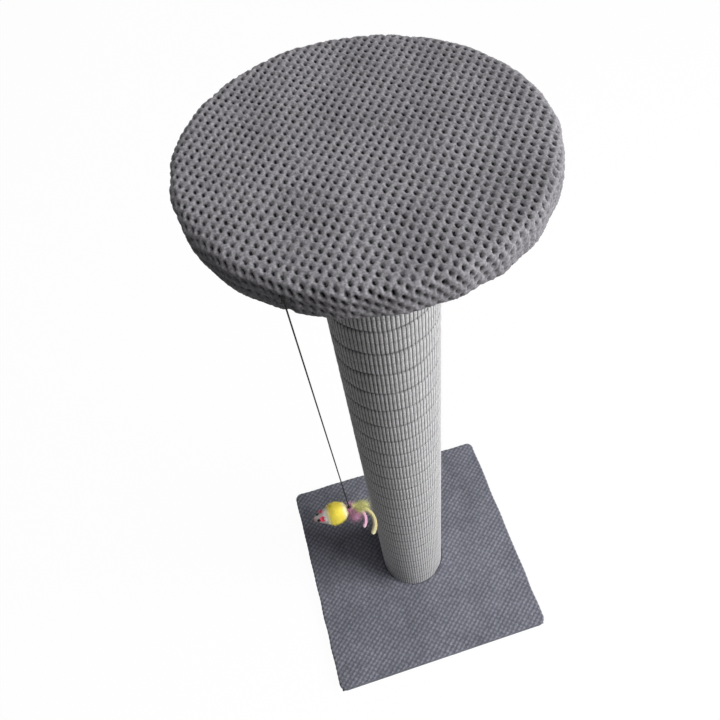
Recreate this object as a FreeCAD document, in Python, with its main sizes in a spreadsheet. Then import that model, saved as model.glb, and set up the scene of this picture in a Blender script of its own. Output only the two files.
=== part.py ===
import FreeCAD, Part
import math
import os
import Sketcher
from FreeCAD import Placement, Rotation, Vector

# A cat scratcher: a square base covered in plush, a post wound with flat ribbed tape, a round
# padded platform on top, and a toy mouse hanging from the platform's rim on a thin cord.
# Millimetres, Z up, origin on the floor under the middle of the base, front towards -Y.

doc = FreeCAD.newDocument("cat_scratcher")
sizes = doc.addObject("Spreadsheet::Sheet", "sizes")

# Driving sizes in millimetres, with counts and degrees where the name says so
SIZES = {
    # Whole object
    "total_height": 1000,
    # Base: a board wrapped in plush, with the hem turned under and stapled
    "base_side": 400,
    "base_corner": 12,
    "base_board_thick": 12,
    "base_hem_thick": 1.5,
    "base_pile_thick": 3.5,
    "base_side_pile": 3.5,
    "base_edge_round": 3,
    "base_hem_width": 32,
    "pressed_pile": 1,
    "cover_fit": 0.1,
    # Post: a cardboard tube with a wooden plug in each end, wound with flat tape
    "tube_radius": 53.5,
    "tube_wall": 6,
    "plug_height": 25,
    "plug_fit": 0.1,
    "tape_thick": 3.85,
    "tape_fit": 0.15,
    "tape_turns": 24,
    "tape_gap": 0.8,
    "tape_bevel": 1,
    "tape_end_width": 5,
    "foot_fit": 0.3,
    # Threaded fastenings that hold the base and the platform to the post
    "thread_radius": 4,
    "thread_fit": 0.1,
    "bolt_hole_fit": 0.3,
    "bolt_head_radius": 6.5,
    "bolt_head_height": 4.4,
    "bolt_past_nut": 3,
    "hex_radius": 2.9,
    "hex_depth": 2.5,
    "washer_radius": 11,
    "washer_thick": 1.6,
    "counterbore_radius": 12.5,
    "counterbore_depth": 7,
    "nut_barrel_radius": 5.5,
    "nut_barrel_length": 11,
    "nut_flange_radius": 9.5,
    "nut_flange_thick": 1.8,
    "nut_fit": 0.1,
    "stud_below": 13,
    "stud_above": 16,
    # Wood screws through the tube into the plugs
    "screw_count": 4,
    "screw_radius": 1.75,
    "screw_length": 22,
    "screw_head_radius": 3.5,
    "screw_head_height": 2.5,
    # Platform: a round board and a thin pad wrapped in plush
    "platform_radius": 147,
    "platform_board_thick": 18,
    "platform_pad_thick": 3,
    "platform_pile_thick": 4.5,
    "platform_side_pile": 4,
    "platform_hem_thick": 3.5,
    "platform_hem_width": 40,
    "platform_top_round": 8,
    "platform_bottom_round": 6,
    # Wire staples in the hems
    "staple_width": 10,
    "staple_wire": 0.9,
    "staple_crown": 0.6,
    "staple_leg": 8,
    "staple_sink": 0.4,
    "staple_slack": 0.1,
    "base_staples_per_side": 6,
    "platform_staple_count": 20,
    # Cord: tied round a staple in the platform's rim
    "cord_angle": -126.5,
    "cord_below_board_top": 3.5,
    "cord_stand_off": 1.9,
    "cord_radius": 0.6,
    "cord_gap": 0.3,
    "cord_length": 354,
    "knot_radius": 1.7,
    "knot_sink": 0.5,
    "cord_short_end": 3.5,
    "crown_radius": 0.5,
    "crown_fit": 0.05,
    "crown_half_width": 4,
    "crown_leg": 16,
    # Toy mouse, lying level with its nose towards -X
    "binding_length": 6,
    "rump_radius": 3.5,
    "mouse_body_length": 24,
    "mouse_body_radius": 12.6,
    "neck_radius": 8.6,
    "mouse_head_length": 14,
    "mouse_head_bow": 40,
    "muzzle_radius": 2.8,
    "muzzle_bow": 4,
    "muzzle_length": 1.9,
    "nose_radius": 0.9,
    "ear_from_neck": 4,
    "ear_spread": 39,
    "ear_radius": 3.6,
    "ear_thick": 2.4,
    "ear_sink": 0.4,
    "eye_from_neck": 8.5,
    "eye_spread": 53,
    "eye_radius": 1.6,
    # Tail of two feathery tufts and two curved feathers
    "pink_tuft_length": 16,
    "pink_tuft_radius": 9,
    "pink_tuft_drop": 3,
    "yellow_tuft_length": 20,
    "yellow_tuft_radius": 7,
    "yellow_tuft_from_pink": 5,
    "yellow_tuft_back": 3,
    "yellow_tuft_rise": 5,
    "feather_width": 4,
    "feather_thick": 0.8,
    "feather_yaw": -60,
    "pink_feather_root": 7,
    "pink_feather_bend": 16,
    "pink_feather_sweep": 115,
    "yellow_feather_root": 15,
    "yellow_feather_bend": 24,
    "yellow_feather_sweep": 130,
}
for row, (alias, amount) in enumerate(SIZES.items(), start=1):
    sizes.set("A%d" % row, alias)
    sizes.set("B%d" % row, str(amount))
    sizes.setAlias("B%d" % row, alias)
doc.recompute()

# Levels and radii that several pieces share
BASE_BOARD_TOP = "(sizes.base_hem_thick + sizes.base_board_thick)"
BASE_TOP = "(%s + sizes.base_pile_thick)" % BASE_BOARD_TOP
BASE_BOARD_SIDE = "(sizes.base_side - 2 * sizes.base_side_pile)"
POST_FOOT = "(%s + sizes.pressed_pile)" % BASE_BOARD_TOP
PAD_TOP = "(sizes.total_height - sizes.platform_pile_thick)"
PLATFORM_BOARD_TOP = "(%s - sizes.platform_pad_thick)" % PAD_TOP
POST_HEAD = "(%s - sizes.platform_board_thick)" % PLATFORM_BOARD_TOP
PLATFORM_BOTTOM = "(%s - sizes.platform_hem_thick)" % POST_HEAD
PLATFORM_INNER = "(sizes.platform_radius - sizes.platform_side_pile)"
PLATFORM_BOARD_RADIUS = "(%s - sizes.cover_fit)" % PLATFORM_INNER
TAPE_INNER = "(sizes.tube_radius + sizes.tape_fit)"
POST_RADIUS = "(%s + sizes.tape_thick)" % TAPE_INNER
TUBE_BORE = "(sizes.tube_radius - sizes.tube_wall)"
LOWER_PLUG_TOP = "(%s + sizes.plug_height)" % POST_FOOT
BOLT_SEAT = "(sizes.base_hem_thick + sizes.counterbore_depth - sizes.washer_thick)"
CLEAR_RADIUS = "(sizes.thread_radius + sizes.bolt_hole_fit)"
CORD_REACH = "(sizes.platform_radius + sizes.cord_stand_off)"
CORD_X = "(%s * cos(sizes.cord_angle))" % CORD_REACH
CORD_Y = "(%s * sin(sizes.cord_angle))" % CORD_REACH
CORD_EXIT = "(%s - sizes.cord_below_board_top)" % PLATFORM_BOARD_TOP
CORD_TOP = "(%s - sizes.knot_radius - sizes.cord_gap)" % CORD_EXIT
CORD_END = "(%s - sizes.cord_length)" % CORD_TOP
END_KNOT = "(%s - sizes.cord_gap - sizes.knot_radius)" % CORD_END
TOY_Z = "(%s - sizes.knot_radius + sizes.knot_sink - sizes.rump_radius)" % END_KNOT
RUMP = "(-sizes.binding_length / 2)"
NECK = "(%s - sizes.mouse_body_length)" % RUMP
MUZZLE = "(%s - sizes.mouse_head_length + sizes.muzzle_length)" % NECK
NOSE = "(%s - sizes.mouse_head_length)" % NECK


def size(expression):
    """The value in millimetres of an expression of named sizes."""
    return float(sizes.evalExpression(expression))


def place(piece, x="0", y="0", z="0"):
    """Bind where a piece stands."""
    for axis, expression in (("x", x), ("y", y), ("z", z)):
        piece.setExpression("Placement.Base." + axis, expression)
    return piece


def cylinder(label, radius, height, x="0", y="0", z="0"):
    """An upright round bar on a given foot."""
    piece = doc.addObject("Part::Cylinder", label)
    piece.setExpression("Radius", radius)
    piece.setExpression("Height", height)
    return place(piece, x, y, z)


def sphere(label, radius, x, y, z):
    """A ball round a given centre."""
    piece = doc.addObject("Part::Sphere", label)
    piece.setExpression("Radius", radius)
    return place(piece, x, y, z)


def ellipsoid(label, half_length, radius, x, y, z):
    """A soft tuft, long along X."""
    piece = doc.addObject("Part::Ellipsoid", label)
    piece.setExpression("Radius1", radius)
    piece.setExpression("Radius2", half_length)
    piece.setExpression("Radius3", radius)
    piece.Angle1 = -90
    piece.Angle2 = 90
    return place(piece, x, y, z)


def square_block(label, side, height, z):
    """A square block standing on the axis, for openings."""
    piece = doc.addObject("Part::Box", label)
    piece.setExpression("Length", side)
    piece.setExpression("Width", side)
    piece.setExpression("Height", height)
    return place(piece, "-(%s) / 2" % side, "-(%s) / 2" % side, z)


def fused(label, pieces):
    """Several shapes joined into one."""
    piece = doc.addObject("Part::MultiFuse", label)
    piece.Shapes = pieces
    return piece


def grouped(label, pieces):
    """Several separate solids kept together."""
    piece = doc.addObject("Part::Compound", label)
    piece.Links = pieces
    return piece


def cut(label, base, tool):
    """One shape less another."""
    piece = doc.addObject("Part::Cut", label)
    piece.Base = base
    piece.Tool = tool
    return piece


def new_body(label):
    """An empty body with its own name."""
    body = doc.addObject("PartDesign::Body", label)
    body.Label = label
    return body


def new_sketch(body, role):
    """A sketch on one of a body's own origin planes."""
    plane = [feature for feature in body.Origin.OriginFeatures if feature.Role == role][0]
    sketch = body.newObject("Sketcher::SketchObject", body.Label + "_sketch")
    sketch.AttachmentSupport = [(plane, "")]
    sketch.MapMode = "FlatFace"
    return sketch


def bowed(start, end, radius):
    """The short arc from start to end, counterclockwise, that bulges outwards."""
    chord = end - start
    middle = (start + end) / 2
    depth = math.sqrt(radius ** 2 - (chord.Length / 2) ** 2)
    inward = Vector(-chord.y, chord.x, 0).normalize()
    centre = middle + inward * depth
    first = math.atan2(start.y - centre.y, start.x - centre.x)
    last = math.atan2(end.y - centre.y, end.x - centre.x)
    return Part.ArcOfCircle(Part.Circle(centre, Vector(0, 0, 1), radius), first, last)


def outline(body, role, corners, bows=None):
    """A closed outline, counterclockwise, with each corner and each bowed side bound to sizes."""
    bows = bows or {}
    sketch = new_sketch(body, role)
    points = [Vector(size(x), size(y), 0) for x, y in corners]
    count = len(points)
    for side in range(count):
        start = points[side]
        end = points[(side + 1) % count]
        if side in bows:
            sketch.addGeometry(bowed(start, end, size(bows[side])), False)
        else:
            sketch.addGeometry(Part.LineSegment(start, end), False)
    for side in range(count):
        follower = (side + 1) % count
        sketch.addConstraint(Sketcher.Constraint("Coincident", side, 2, follower, 1))
    for side, corner in enumerate(corners):
        for axis, expression in zip("XY", corner):
            rule = Sketcher.Constraint("Distance" + axis, -1, 1, side, 1, size(expression))
            name = "corner_%d_%s" % (side, axis)
            sketch.renameConstraint(sketch.addConstraint(rule), name)
            sketch.setExpression("Constraints." + name, expression)
    for side, expression in bows.items():
        name = "bow_%d" % side
        rule = Sketcher.Constraint("Radius", side, size(expression))
        sketch.renameConstraint(sketch.addConstraint(rule), name)
        sketch.setExpression("Constraints." + name, expression)
    return sketch


def turned(label, corners, bows=None, axis="V_Axis", x="0", y="0", z="0"):
    """A body turned from an outline in the XZ plane, about Z or, with H_Axis, about X."""
    body = new_body(label)
    sketch = outline(body, "XZ_Plane", corners, bows)
    turn = body.newObject("PartDesign::Revolution", label + "_turn")
    turn.Profile = sketch
    turn.ReferenceAxis = (sketch, [axis])
    turn.Angle = 360
    place(body, x, y, z)
    doc.recompute()
    return body


def rounded(body, wanted, radius):
    """Round the edges of a body's last feature that a test picks out."""
    doc.recompute()
    last = body.Tip
    names = ["Edge%d" % (i + 1) for i, edge in enumerate(last.Shape.Edges) if wanted(edge)]
    fillet = body.newObject("PartDesign::Fillet", body.Label + "_round")
    fillet.Base = (last, names)
    fillet.setExpression("Radius", radius)
    body.Tip = fillet
    doc.recompute()
    return body


def upright(edge):
    """Whether an edge stands along Z."""
    box = edge.BoundBox
    return box.ZLength > max(box.XLength, box.YLength)


def level_at(height):
    """A test for the edges that lie at one height."""
    def wanted(edge):
        box = edge.BoundBox
        return abs(box.ZMin - height) < 1e-3 and abs(box.ZMax - height) < 1e-3
    return wanted


def rim_at(radius, height):
    """A test for the circle of one radius at one height."""
    level = level_at(height)

    def wanted(edge):
        return level(edge) and abs(edge.BoundBox.XMax - radius) < 1e-3
    return wanted


def rounded_square(label, side, height, corner, z):
    """A square board with rounded corners."""
    body = new_body(label)
    half = "(%s) / 2" % side
    minus = "-(%s) / 2" % side
    corners = [(minus, minus), (half, minus), (half, half), (minus, half)]
    sketch = outline(body, "XY_Plane", corners)
    pad = body.newObject("PartDesign::Pad", label + "_pad")
    pad.Profile = sketch
    pad.setExpression("Length", height)
    place(body, z=z)
    return rounded(body, upright, corner)


def insert_nut(label, top):
    """A flanged threaded insert, flush with the top of the wood that holds it."""
    flange = "sizes.nut_flange_radius"
    barrel = "sizes.nut_barrel_radius"
    bore = "(sizes.thread_radius + sizes.thread_fit)"
    step = "-sizes.nut_flange_thick"
    bottom = "(-sizes.nut_flange_thick - sizes.nut_barrel_length)"
    corners = [(bore, bottom), (barrel, bottom), (barrel, step),
               (flange, step), (flange, "0"), (bore, "0")]
    return turned(label, corners, z=top)


def bored_disc(label, radius, height, top):
    """A wooden disc with a stepped bore for an insert nut in its top face."""
    flange = "(sizes.nut_flange_radius + sizes.nut_fit)"
    barrel = "(sizes.nut_barrel_radius + sizes.nut_fit)"
    step = "-sizes.nut_flange_thick"
    seat = "(-sizes.nut_flange_thick - sizes.nut_barrel_length)"
    bottom = "-(%s)" % height
    corners = [(CLEAR_RADIUS, bottom), (radius, bottom), (radius, "0"), (flange, "0"),
               (flange, step), (barrel, step), (barrel, seat), (CLEAR_RADIUS, seat)]
    return turned(label, corners, z=top)


def made(label, shape):
    """A piece whose shape is worked out in code from the sizes."""
    piece = doc.addObject("Part::Feature", label)
    piece.Shape = shape
    return piece


def staple(spread, wire, crown, leg):
    """A wire staple on the origin, crown below and legs up."""
    top = Part.makeBox(spread, wire, crown, Vector(-spread / 2, -wire / 2, 0))
    near = Part.makeBox(wire, wire, leg, Vector(-spread / 2, -wire / 2, 0))
    far = Part.makeBox(wire, wire, leg, Vector(spread / 2 - wire, -wire / 2, 0))
    return top.multiFuse([near, far]).removeSplitter()


def hem_staples(places):
    """The staples of one hem, and the pressed slots in the pile that their crowns lie in."""
    spread = size("sizes.staple_width")
    wire = size("sizes.staple_wire")
    crown = size("sizes.staple_crown")
    sink = size("sizes.staple_sink")
    slack = size("sizes.staple_slack")
    one = staple(spread, wire, crown, size("sizes.staple_leg"))
    corner = Vector(-spread / 2 - slack, -wire / 2 - slack, -2 * sink)
    slot = Part.makeBox(spread + 2 * slack, wire + 2 * slack, 2 * sink + crown, corner)
    staples = []
    slots = []
    for spot in places:
        spot = spot.copy()
        spot.Base.z += sink
        staples.append(one.transformed(spot.toMatrix()))
        slots.append(slot.transformed(spot.toMatrix()))
    return Part.makeCompound(staples), Part.makeCompound(slots)


# Base board with a counterbored hole for the bolt
board_blank = rounded_square("base_board_blank", BASE_BOARD_SIDE, "sizes.base_board_thick",
                             "(sizes.base_corner - sizes.base_side_pile)", "sizes.base_hem_thick")
bolt_way = fused("base_bolt_way", [
    cylinder("base_bolt_hole", CLEAR_RADIUS, "sizes.base_board_thick", z="sizes.base_hem_thick"),
    cylinder("base_counterbore", "sizes.counterbore_radius", "sizes.counterbore_depth",
             z="sizes.base_hem_thick"),
])
base_board = cut("base_board", board_blank, bolt_way)

# Staples along the hem under the base, evenly spaced on each side
side_count = int(size("sizes.base_staples_per_side"))
side_length = size(BASE_BOARD_SIDE)
hem_line = size("sizes.base_side - sizes.base_hem_width") / 2
base_spots = []
for quarter in range(4):
    turn = Placement(Vector(), Rotation(Vector(0, 0, 1), 90 * quarter))
    for i in range(side_count):
        along = side_length * ((i + 0.5) / side_count - 0.5)
        base_spots.append(turn.multiply(Placement(Vector(along, -hem_line, 0), Rotation())))
base_staple_shapes, base_slot_shapes = hem_staples(base_spots)
base_staples = made("base_staples", base_staple_shapes)

# Base cover: pile on the top and sides, hem underneath, pressed flat under the post
cover_blank = rounded_square("base_cover_blank", "sizes.base_side", BASE_TOP,
                             "sizes.base_corner", "0")
rounded(cover_blank, level_at(size(BASE_TOP)), "sizes.base_edge_round")
board_space = rounded_square(
    "base_board_space", "(%s + 2 * sizes.cover_fit)" % BASE_BOARD_SIDE, "sizes.base_board_thick",
    "(sizes.base_corner - sizes.base_side_pile + sizes.cover_fit)", "sizes.base_hem_thick")
base_openings = fused("base_cover_openings", [
    board_space,
    square_block("base_hem_opening", "(sizes.base_side - 2 * sizes.base_hem_width)",
                 BASE_BOARD_TOP, "0"),
    cylinder("base_foot_recess", "(%s + sizes.foot_fit)" % POST_RADIUS,
             "(2 * sizes.base_pile_thick)", z=POST_FOOT),
    cylinder("base_pile_hole", CLEAR_RADIUS, BASE_TOP),
    made("base_staple_slots", base_slot_shapes),
])
base_cover = cut("base_cover", cover_blank, base_openings)

# Bolt, washer and insert nut that hold the base to the post
bolt_corners = [("0", "-sizes.bolt_head_height"), ("sizes.bolt_head_radius", "-sizes.bolt_head_height"),
                ("sizes.bolt_head_radius", "0"), ("sizes.thread_radius", "0"),
                ("sizes.thread_radius", "(%s + sizes.bolt_past_nut - %s)" % (LOWER_PLUG_TOP, BOLT_SEAT)),
                ("0", "(%s + sizes.bolt_past_nut - %s)" % (LOWER_PLUG_TOP, BOLT_SEAT))]
bolt_blank = turned("base_bolt_blank", bolt_corners, z=BOLT_SEAT)
hex_socket = doc.addObject("Part::Prism", "base_bolt_hex")
hex_socket.Polygon = 6
hex_socket.setExpression("Circumradius", "sizes.hex_radius")
hex_socket.setExpression("Height", "sizes.hex_depth")
place(hex_socket, z="%s - sizes.bolt_head_height" % BOLT_SEAT)
base_bolt = cut("base_bolt", bolt_blank, hex_socket)
base_washer = turned("base_washer", [
    (CLEAR_RADIUS, "0"), ("sizes.washer_radius", "0"),
    ("sizes.washer_radius", "sizes.washer_thick"), (CLEAR_RADIUS, "sizes.washer_thick"),
], z=BOLT_SEAT)
lower_insert_nut = insert_nut("lower_insert_nut", LOWER_PLUG_TOP)

# Post tube and its two plugs
post_tube = turned("post_tube", [
    (TUBE_BORE, "0"), ("sizes.tube_radius", "0"),
    ("sizes.tube_radius", "(%s - %s)" % (POST_HEAD, POST_FOOT)),
    (TUBE_BORE, "(%s - %s)" % (POST_HEAD, POST_FOOT)),
], z=POST_FOOT)
PLUG_RADIUS = "(%s - sizes.plug_fit)" % TUBE_BORE
lower_plug = bored_disc("lower_plug", PLUG_RADIUS, "sizes.plug_height", LOWER_PLUG_TOP)
upper_plug = bored_disc("upper_plug", PLUG_RADIUS, "sizes.plug_height", POST_HEAD)

# Countersunk wood screws through the tube into the middle of each plug
screw_blank = turned("plug_screw_blank", [
    ("0", "-sizes.screw_length"), ("sizes.screw_radius", "-sizes.screw_length"),
    ("sizes.screw_radius", "-sizes.screw_head_height"), ("sizes.screw_head_radius", "0"), ("0", "0"),
]).Shape
screw_levels = [size("%s + sizes.plug_height / 2" % POST_FOOT),
                size("%s - sizes.plug_height / 2" % POST_HEAD)]
screws = []
screw_count = int(size("sizes.screw_count"))
for level in screw_levels:
    for i in range(screw_count):
        around = Rotation(Vector(0, 0, 1), 360 * (i + 0.5) / screw_count)
        spot = around.multVec(Vector(size("sizes.tube_radius"), 0, level))
        outward = around.multiply(Rotation(Vector(0, 1, 0), 90))
        screws.append(screw_blank.transformed(Placement(spot, outward).toMatrix()))
plug_screws = made("plug_screws", Part.makeCompound(screws))


def tape_corner(corner, turns):
    """A corner of the tape's section after so many turns, level at the foot and head of the post."""
    foot = size(POST_FOOT)
    head = size(POST_HEAD)
    inner = size(TAPE_INNER)
    outer = size(POST_RADIUS)
    bevel = size("sizes.tape_bevel")
    rise = (head - foot) / size("sizes.tape_turns")
    low = max(foot, foot + (turns - 1) * rise)
    high = min(head, foot + turns * rise - size("sizes.tape_gap"))
    section = ((inner, low), (outer - bevel, low), (outer, low + bevel),
               (outer, high - bevel), (outer - bevel, high), (inner, high))
    radius, level = section[corner]
    angle = 2 * math.pi * turns
    return Vector(radius * math.cos(angle), radius * math.sin(angle), level)


def tape_edge(corner, start, end, step_count=24):
    """The curve that a corner of the section follows over one turn."""
    part_turns = [start + (end - start) * i / step_count for i in range(step_count + 1)]
    points = [tape_corner(corner, turns) for turns in part_turns]
    nudge = (end - start) * 1e-4
    first = tape_corner(corner, start + nudge) - points[0]
    last = points[-1] - tape_corner(corner, end - nudge)
    curve = Part.BSplineCurve()
    curve.interpolate(Points=points, InitialTangent=first.normalize(),
                      FinalTangent=last.normalize(), Scale=False)
    return curve.toShape()


def tape_winding():
    """One unbroken tape that climbs the post, its two ends cut level to a narrow tail."""
    corner_count = 6
    rise = size("(%s - %s) / sizes.tape_turns" % (POST_HEAD, POST_FOOT))
    turns = int(size("sizes.tape_turns"))
    tail = size("sizes.tape_end_width") / rise
    slack = size("sizes.tape_gap") / rise
    stops = [tail + slack] + list(range(1, turns)) + [turns + slack, turns + 1 - tail]
    faces = []
    for start, end in zip(stops[:-1], stops[1:]):
        edges = [tape_edge(corner, start, end) for corner in range(corner_count)]
        for corner in range(corner_count):
            faces.append(Part.makeRuledSurface(edges[corner], edges[(corner + 1) % corner_count]))
    for stop in (stops[0], stops[-1]):
        rim = [tape_corner(corner, stop) for corner in range(corner_count)]
        faces.append(Part.Face(Part.makePolygon(rim + rim[:1])))
    shell = Part.makeShell(faces)
    shell.sewShape()
    solid = Part.makeSolid(shell)
    if solid.Volume < 0:
        solid.reverse()
    return solid


def least_tape_gap(point_count=72, near_count=4):
    """The least distance from a turn's lower edges to the upper edges of the turn below."""
    turns = int(size("sizes.tape_turns"))
    lower = (0, 1, 2)
    upper = (3, 4, 5)
    least = None
    for i in range(point_count, point_count * turns):
        nearby = [i - point_count + near for near in range(-near_count, near_count + 1)]
        below = [tape_corner(corner, j / point_count) for corner in upper for j in nearby if j > 0]
        for corner in lower:
            point = tape_corner(corner, i / point_count)
            nearest = min(point.distanceToPoint(other) for other in below)
            least = nearest if least is None else min(least, nearest)
    return least


# Tape wound round the tube, foot to head
post_winding = made("post_winding", tape_winding())

# Stud and insert nuts that hold the platform to the post
upper_insert_nut = insert_nut("upper_insert_nut", POST_HEAD)
platform_insert_nut = insert_nut("platform_insert_nut", PLATFORM_BOARD_TOP)
top_stud = cylinder("top_stud", "sizes.thread_radius", "(sizes.stud_below + sizes.stud_above)",
                    z="%s - sizes.stud_below" % POST_HEAD)

# Platform board and the pad on it
platform_board = bored_disc("platform_board", PLATFORM_BOARD_RADIUS, "sizes.platform_board_thick",
                            PLATFORM_BOARD_TOP)
platform_pad = turned("platform_pad", [
    ("0", "0"), (PLATFORM_BOARD_RADIUS, "0"),
    (PLATFORM_BOARD_RADIUS, "sizes.platform_pad_thick"), ("0", "sizes.platform_pad_thick"),
], z=PLATFORM_BOARD_TOP)

# Staples round the hem under the platform
platform_count = int(size("sizes.platform_staple_count"))
hem_ring = size("sizes.platform_radius - sizes.platform_hem_width / 2")
platform_spots = []
for i in range(platform_count):
    turn = Placement(Vector(), Rotation(Vector(0, 0, 1), 360 * i / platform_count))
    spot = Placement(Vector(0, -hem_ring, size(PLATFORM_BOTTOM)), Rotation())
    platform_spots.append(turn.multiply(spot))
platform_staple_shapes, platform_slot_shapes = hem_staples(platform_spots)
platform_staples = made("platform_staples", platform_staple_shapes)

# Platform cover: pile over the top and round the rim, hem underneath
HEM_INNER = "(sizes.platform_radius - sizes.platform_hem_width)"
platform_blank = turned("platform_cover_blank", [
    (HEM_INNER, PLATFORM_BOTTOM), ("sizes.platform_radius", PLATFORM_BOTTOM),
    ("sizes.platform_radius", "sizes.total_height"), ("0", "sizes.total_height"),
    ("0", PAD_TOP), (PLATFORM_INNER, PAD_TOP), (PLATFORM_INNER, POST_HEAD), (HEM_INNER, POST_HEAD),
])
rounded(platform_blank, rim_at(size("sizes.platform_radius"), size("sizes.total_height")),
        "sizes.platform_top_round")
rounded(platform_blank, rim_at(size("sizes.platform_radius"), size(PLATFORM_BOTTOM)),
        "sizes.platform_bottom_round")
platform_cover = cut("platform_cover", platform_blank, made("platform_staple_slots", platform_slot_shapes))


def across_rim(sideways, outward=CORD_REACH):
    """X and Y of a point beside the cord's exit: so far along the rim, so far from the axis."""
    x = "((%s) * cos(sizes.cord_angle) - (%s) * sin(sizes.cord_angle))" % (outward, sideways)
    y = "((%s) * sin(sizes.cord_angle) + (%s) * cos(sizes.cord_angle))" % (outward, sideways)
    return x, y


def rim_bar(label, radius, length, sideways, yaw):
    """A level round bar that starts beside the cord's exit and runs along a yaw angle."""
    x, y = across_rim(sideways)
    bar = cylinder(label, radius, length, x, y, CORD_EXIT)
    lay_down = Rotation(Vector(0, 1, 0), 90)
    bar.Placement.Rotation = Rotation(Vector(0, 0, 1), yaw).multiply(lay_down)
    return bar


def rim_ball(label, radius, sideways):
    """A ball beside the cord's exit."""
    x, y = across_rim(sideways)
    return sphere(label, radius, x, y, CORD_EXIT)


# Cord staple: a round wire whose crown stands clear of the rim, its legs driven into the board
cord_angle = size("sizes.cord_angle")
HALF = "sizes.crown_half_width"
MINUS_HALF = "-sizes.crown_half_width"
cord_staple = fused("cord_staple", [
    rim_bar("cord_crown", "sizes.crown_radius", "2 * " + HALF, MINUS_HALF, cord_angle + 90),
    rim_bar("cord_leg_near", "sizes.crown_radius", "sizes.crown_leg", MINUS_HALF, cord_angle + 180),
    rim_bar("cord_leg_far", "sizes.crown_radius", "sizes.crown_leg", HALF, cord_angle + 180),
    rim_ball("cord_bend_near", "sizes.crown_radius", MINUS_HALF),
    rim_ball("cord_bend_far", "sizes.crown_radius", HALF),
])

# Cord, knotted round the staple's crown with a short end left over, and hanging straight
KNOT_BORE = "(sizes.crown_radius + sizes.crown_fit)"
knot_blank = fused("cord_top_knot_blank", [
    rim_ball("cord_top_ball", "sizes.knot_radius", "0"),
    rim_bar("cord_short_end", "sizes.cord_radius", "sizes.cord_short_end", "0", cord_angle),
])
knot_bore = rim_bar("cord_top_bore", KNOT_BORE, "2 * " + HALF, MINUS_HALF, cord_angle + 90)
cord_top_knot = cut("cord_top_knot", knot_blank, knot_bore)
toy_cord = cylinder("toy_cord", "sizes.cord_radius", "sizes.cord_length", CORD_X, CORD_Y, CORD_END)

# Binding that ties the cord and the tail to the mouse's rump
tail_binding = turned("tail_binding", [
    (RUMP, "0"), ("sizes.binding_length / 2", "0"),
    ("sizes.binding_length / 2", "sizes.rump_radius"), (RUMP, "sizes.rump_radius"),
], axis="H_Axis", x=CORD_X, y=CORD_Y, z=TOY_Z)
cord_end_knot = cut("cord_end_knot", sphere("cord_end_ball", "sizes.knot_radius", CORD_X, CORD_Y, END_KNOT),
                    tail_binding)

# Mouse body: a barrel that swells between the rump and the neck
TO_NECK = "acos(sizes.neck_radius / sizes.mouse_body_radius)"
TO_RUMP = "acos(sizes.rump_radius / sizes.mouse_body_radius)"
BARREL = "(sizes.mouse_body_length / (sin(%s) + sin(%s)))" % (TO_NECK, TO_RUMP)
mouse_body = doc.addObject("Part::Ellipsoid", "mouse_body")
mouse_body.setExpression("Radius1", BARREL)
mouse_body.setExpression("Radius2", "sizes.mouse_body_radius")
mouse_body.setExpression("Radius3", "sizes.mouse_body_radius")
mouse_body.setExpression("Angle1", "-" + TO_RUMP)
mouse_body.setExpression("Angle2", TO_NECK)
mouse_body.Placement = Placement(Vector(), Rotation(Vector(0, 1, 0), -90))
place(mouse_body, "%s + %s - %s * sin(%s)" % (CORD_X, RUMP, BARREL, TO_RUMP), CORD_Y, TOY_Z)

# Mouse head, tapering from the neck to the nose
mouse_head = turned("mouse_head", [
    (NOSE, "0"), (NECK, "0"), (NECK, "sizes.neck_radius"), (MUZZLE, "sizes.muzzle_radius"),
    (NOSE, "sizes.nose_radius"),
], {2: "sizes.mouse_head_bow", 3: "sizes.muzzle_bow"}, "H_Axis", CORD_X, CORD_Y, TOY_Z)


def head_radius(from_neck):
    """The head's radius so far in front of the neck, before its slight swelling."""
    taper = "(sizes.neck_radius - sizes.muzzle_radius) / (sizes.mouse_head_length - sizes.muzzle_length)"
    return "(sizes.neck_radius - (%s) * %s)" % (from_neck, taper)


def on_head(piece, from_neck, spread, side, sink):
    """Seat a piece on the head's skin, to one side of the crown of the head."""
    reach = "(%s - %s)" % (head_radius(from_neck), sink)
    x = "(%s + %s - %s)" % (CORD_X, NECK, from_neck)
    y = "(%s - %d * %s * sin(%s))" % (CORD_Y, side, reach, spread)
    z = "(%s + %s * cos(%s))" % (TOY_Z, reach, spread)
    piece.Placement = Placement(Vector(), Rotation(Vector(1, 0, 0), side * size(spread)))
    return place(piece, x, y, z)


# Two felt ears and two bead eyes
ears = []
eyes = []
for name, side in (("near", 1), ("far", -1)):
    ear = cylinder("ear_" + name, "sizes.ear_radius", "sizes.ear_thick")
    eye = sphere("eye_" + name, "sizes.eye_radius", "0", "0", "0")
    ears.append(on_head(ear, "sizes.ear_from_neck", "sizes.ear_spread", side, "sizes.ear_sink"))
    eyes.append(on_head(eye, "sizes.eye_from_neck", "sizes.eye_spread", side, "0"))
mouse_ears = cut("mouse_ears", grouped("ear_blanks", ears), mouse_head)
mouse_eyes = cut("mouse_eyes", grouped("eye_blanks", eyes), mouse_head)

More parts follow.
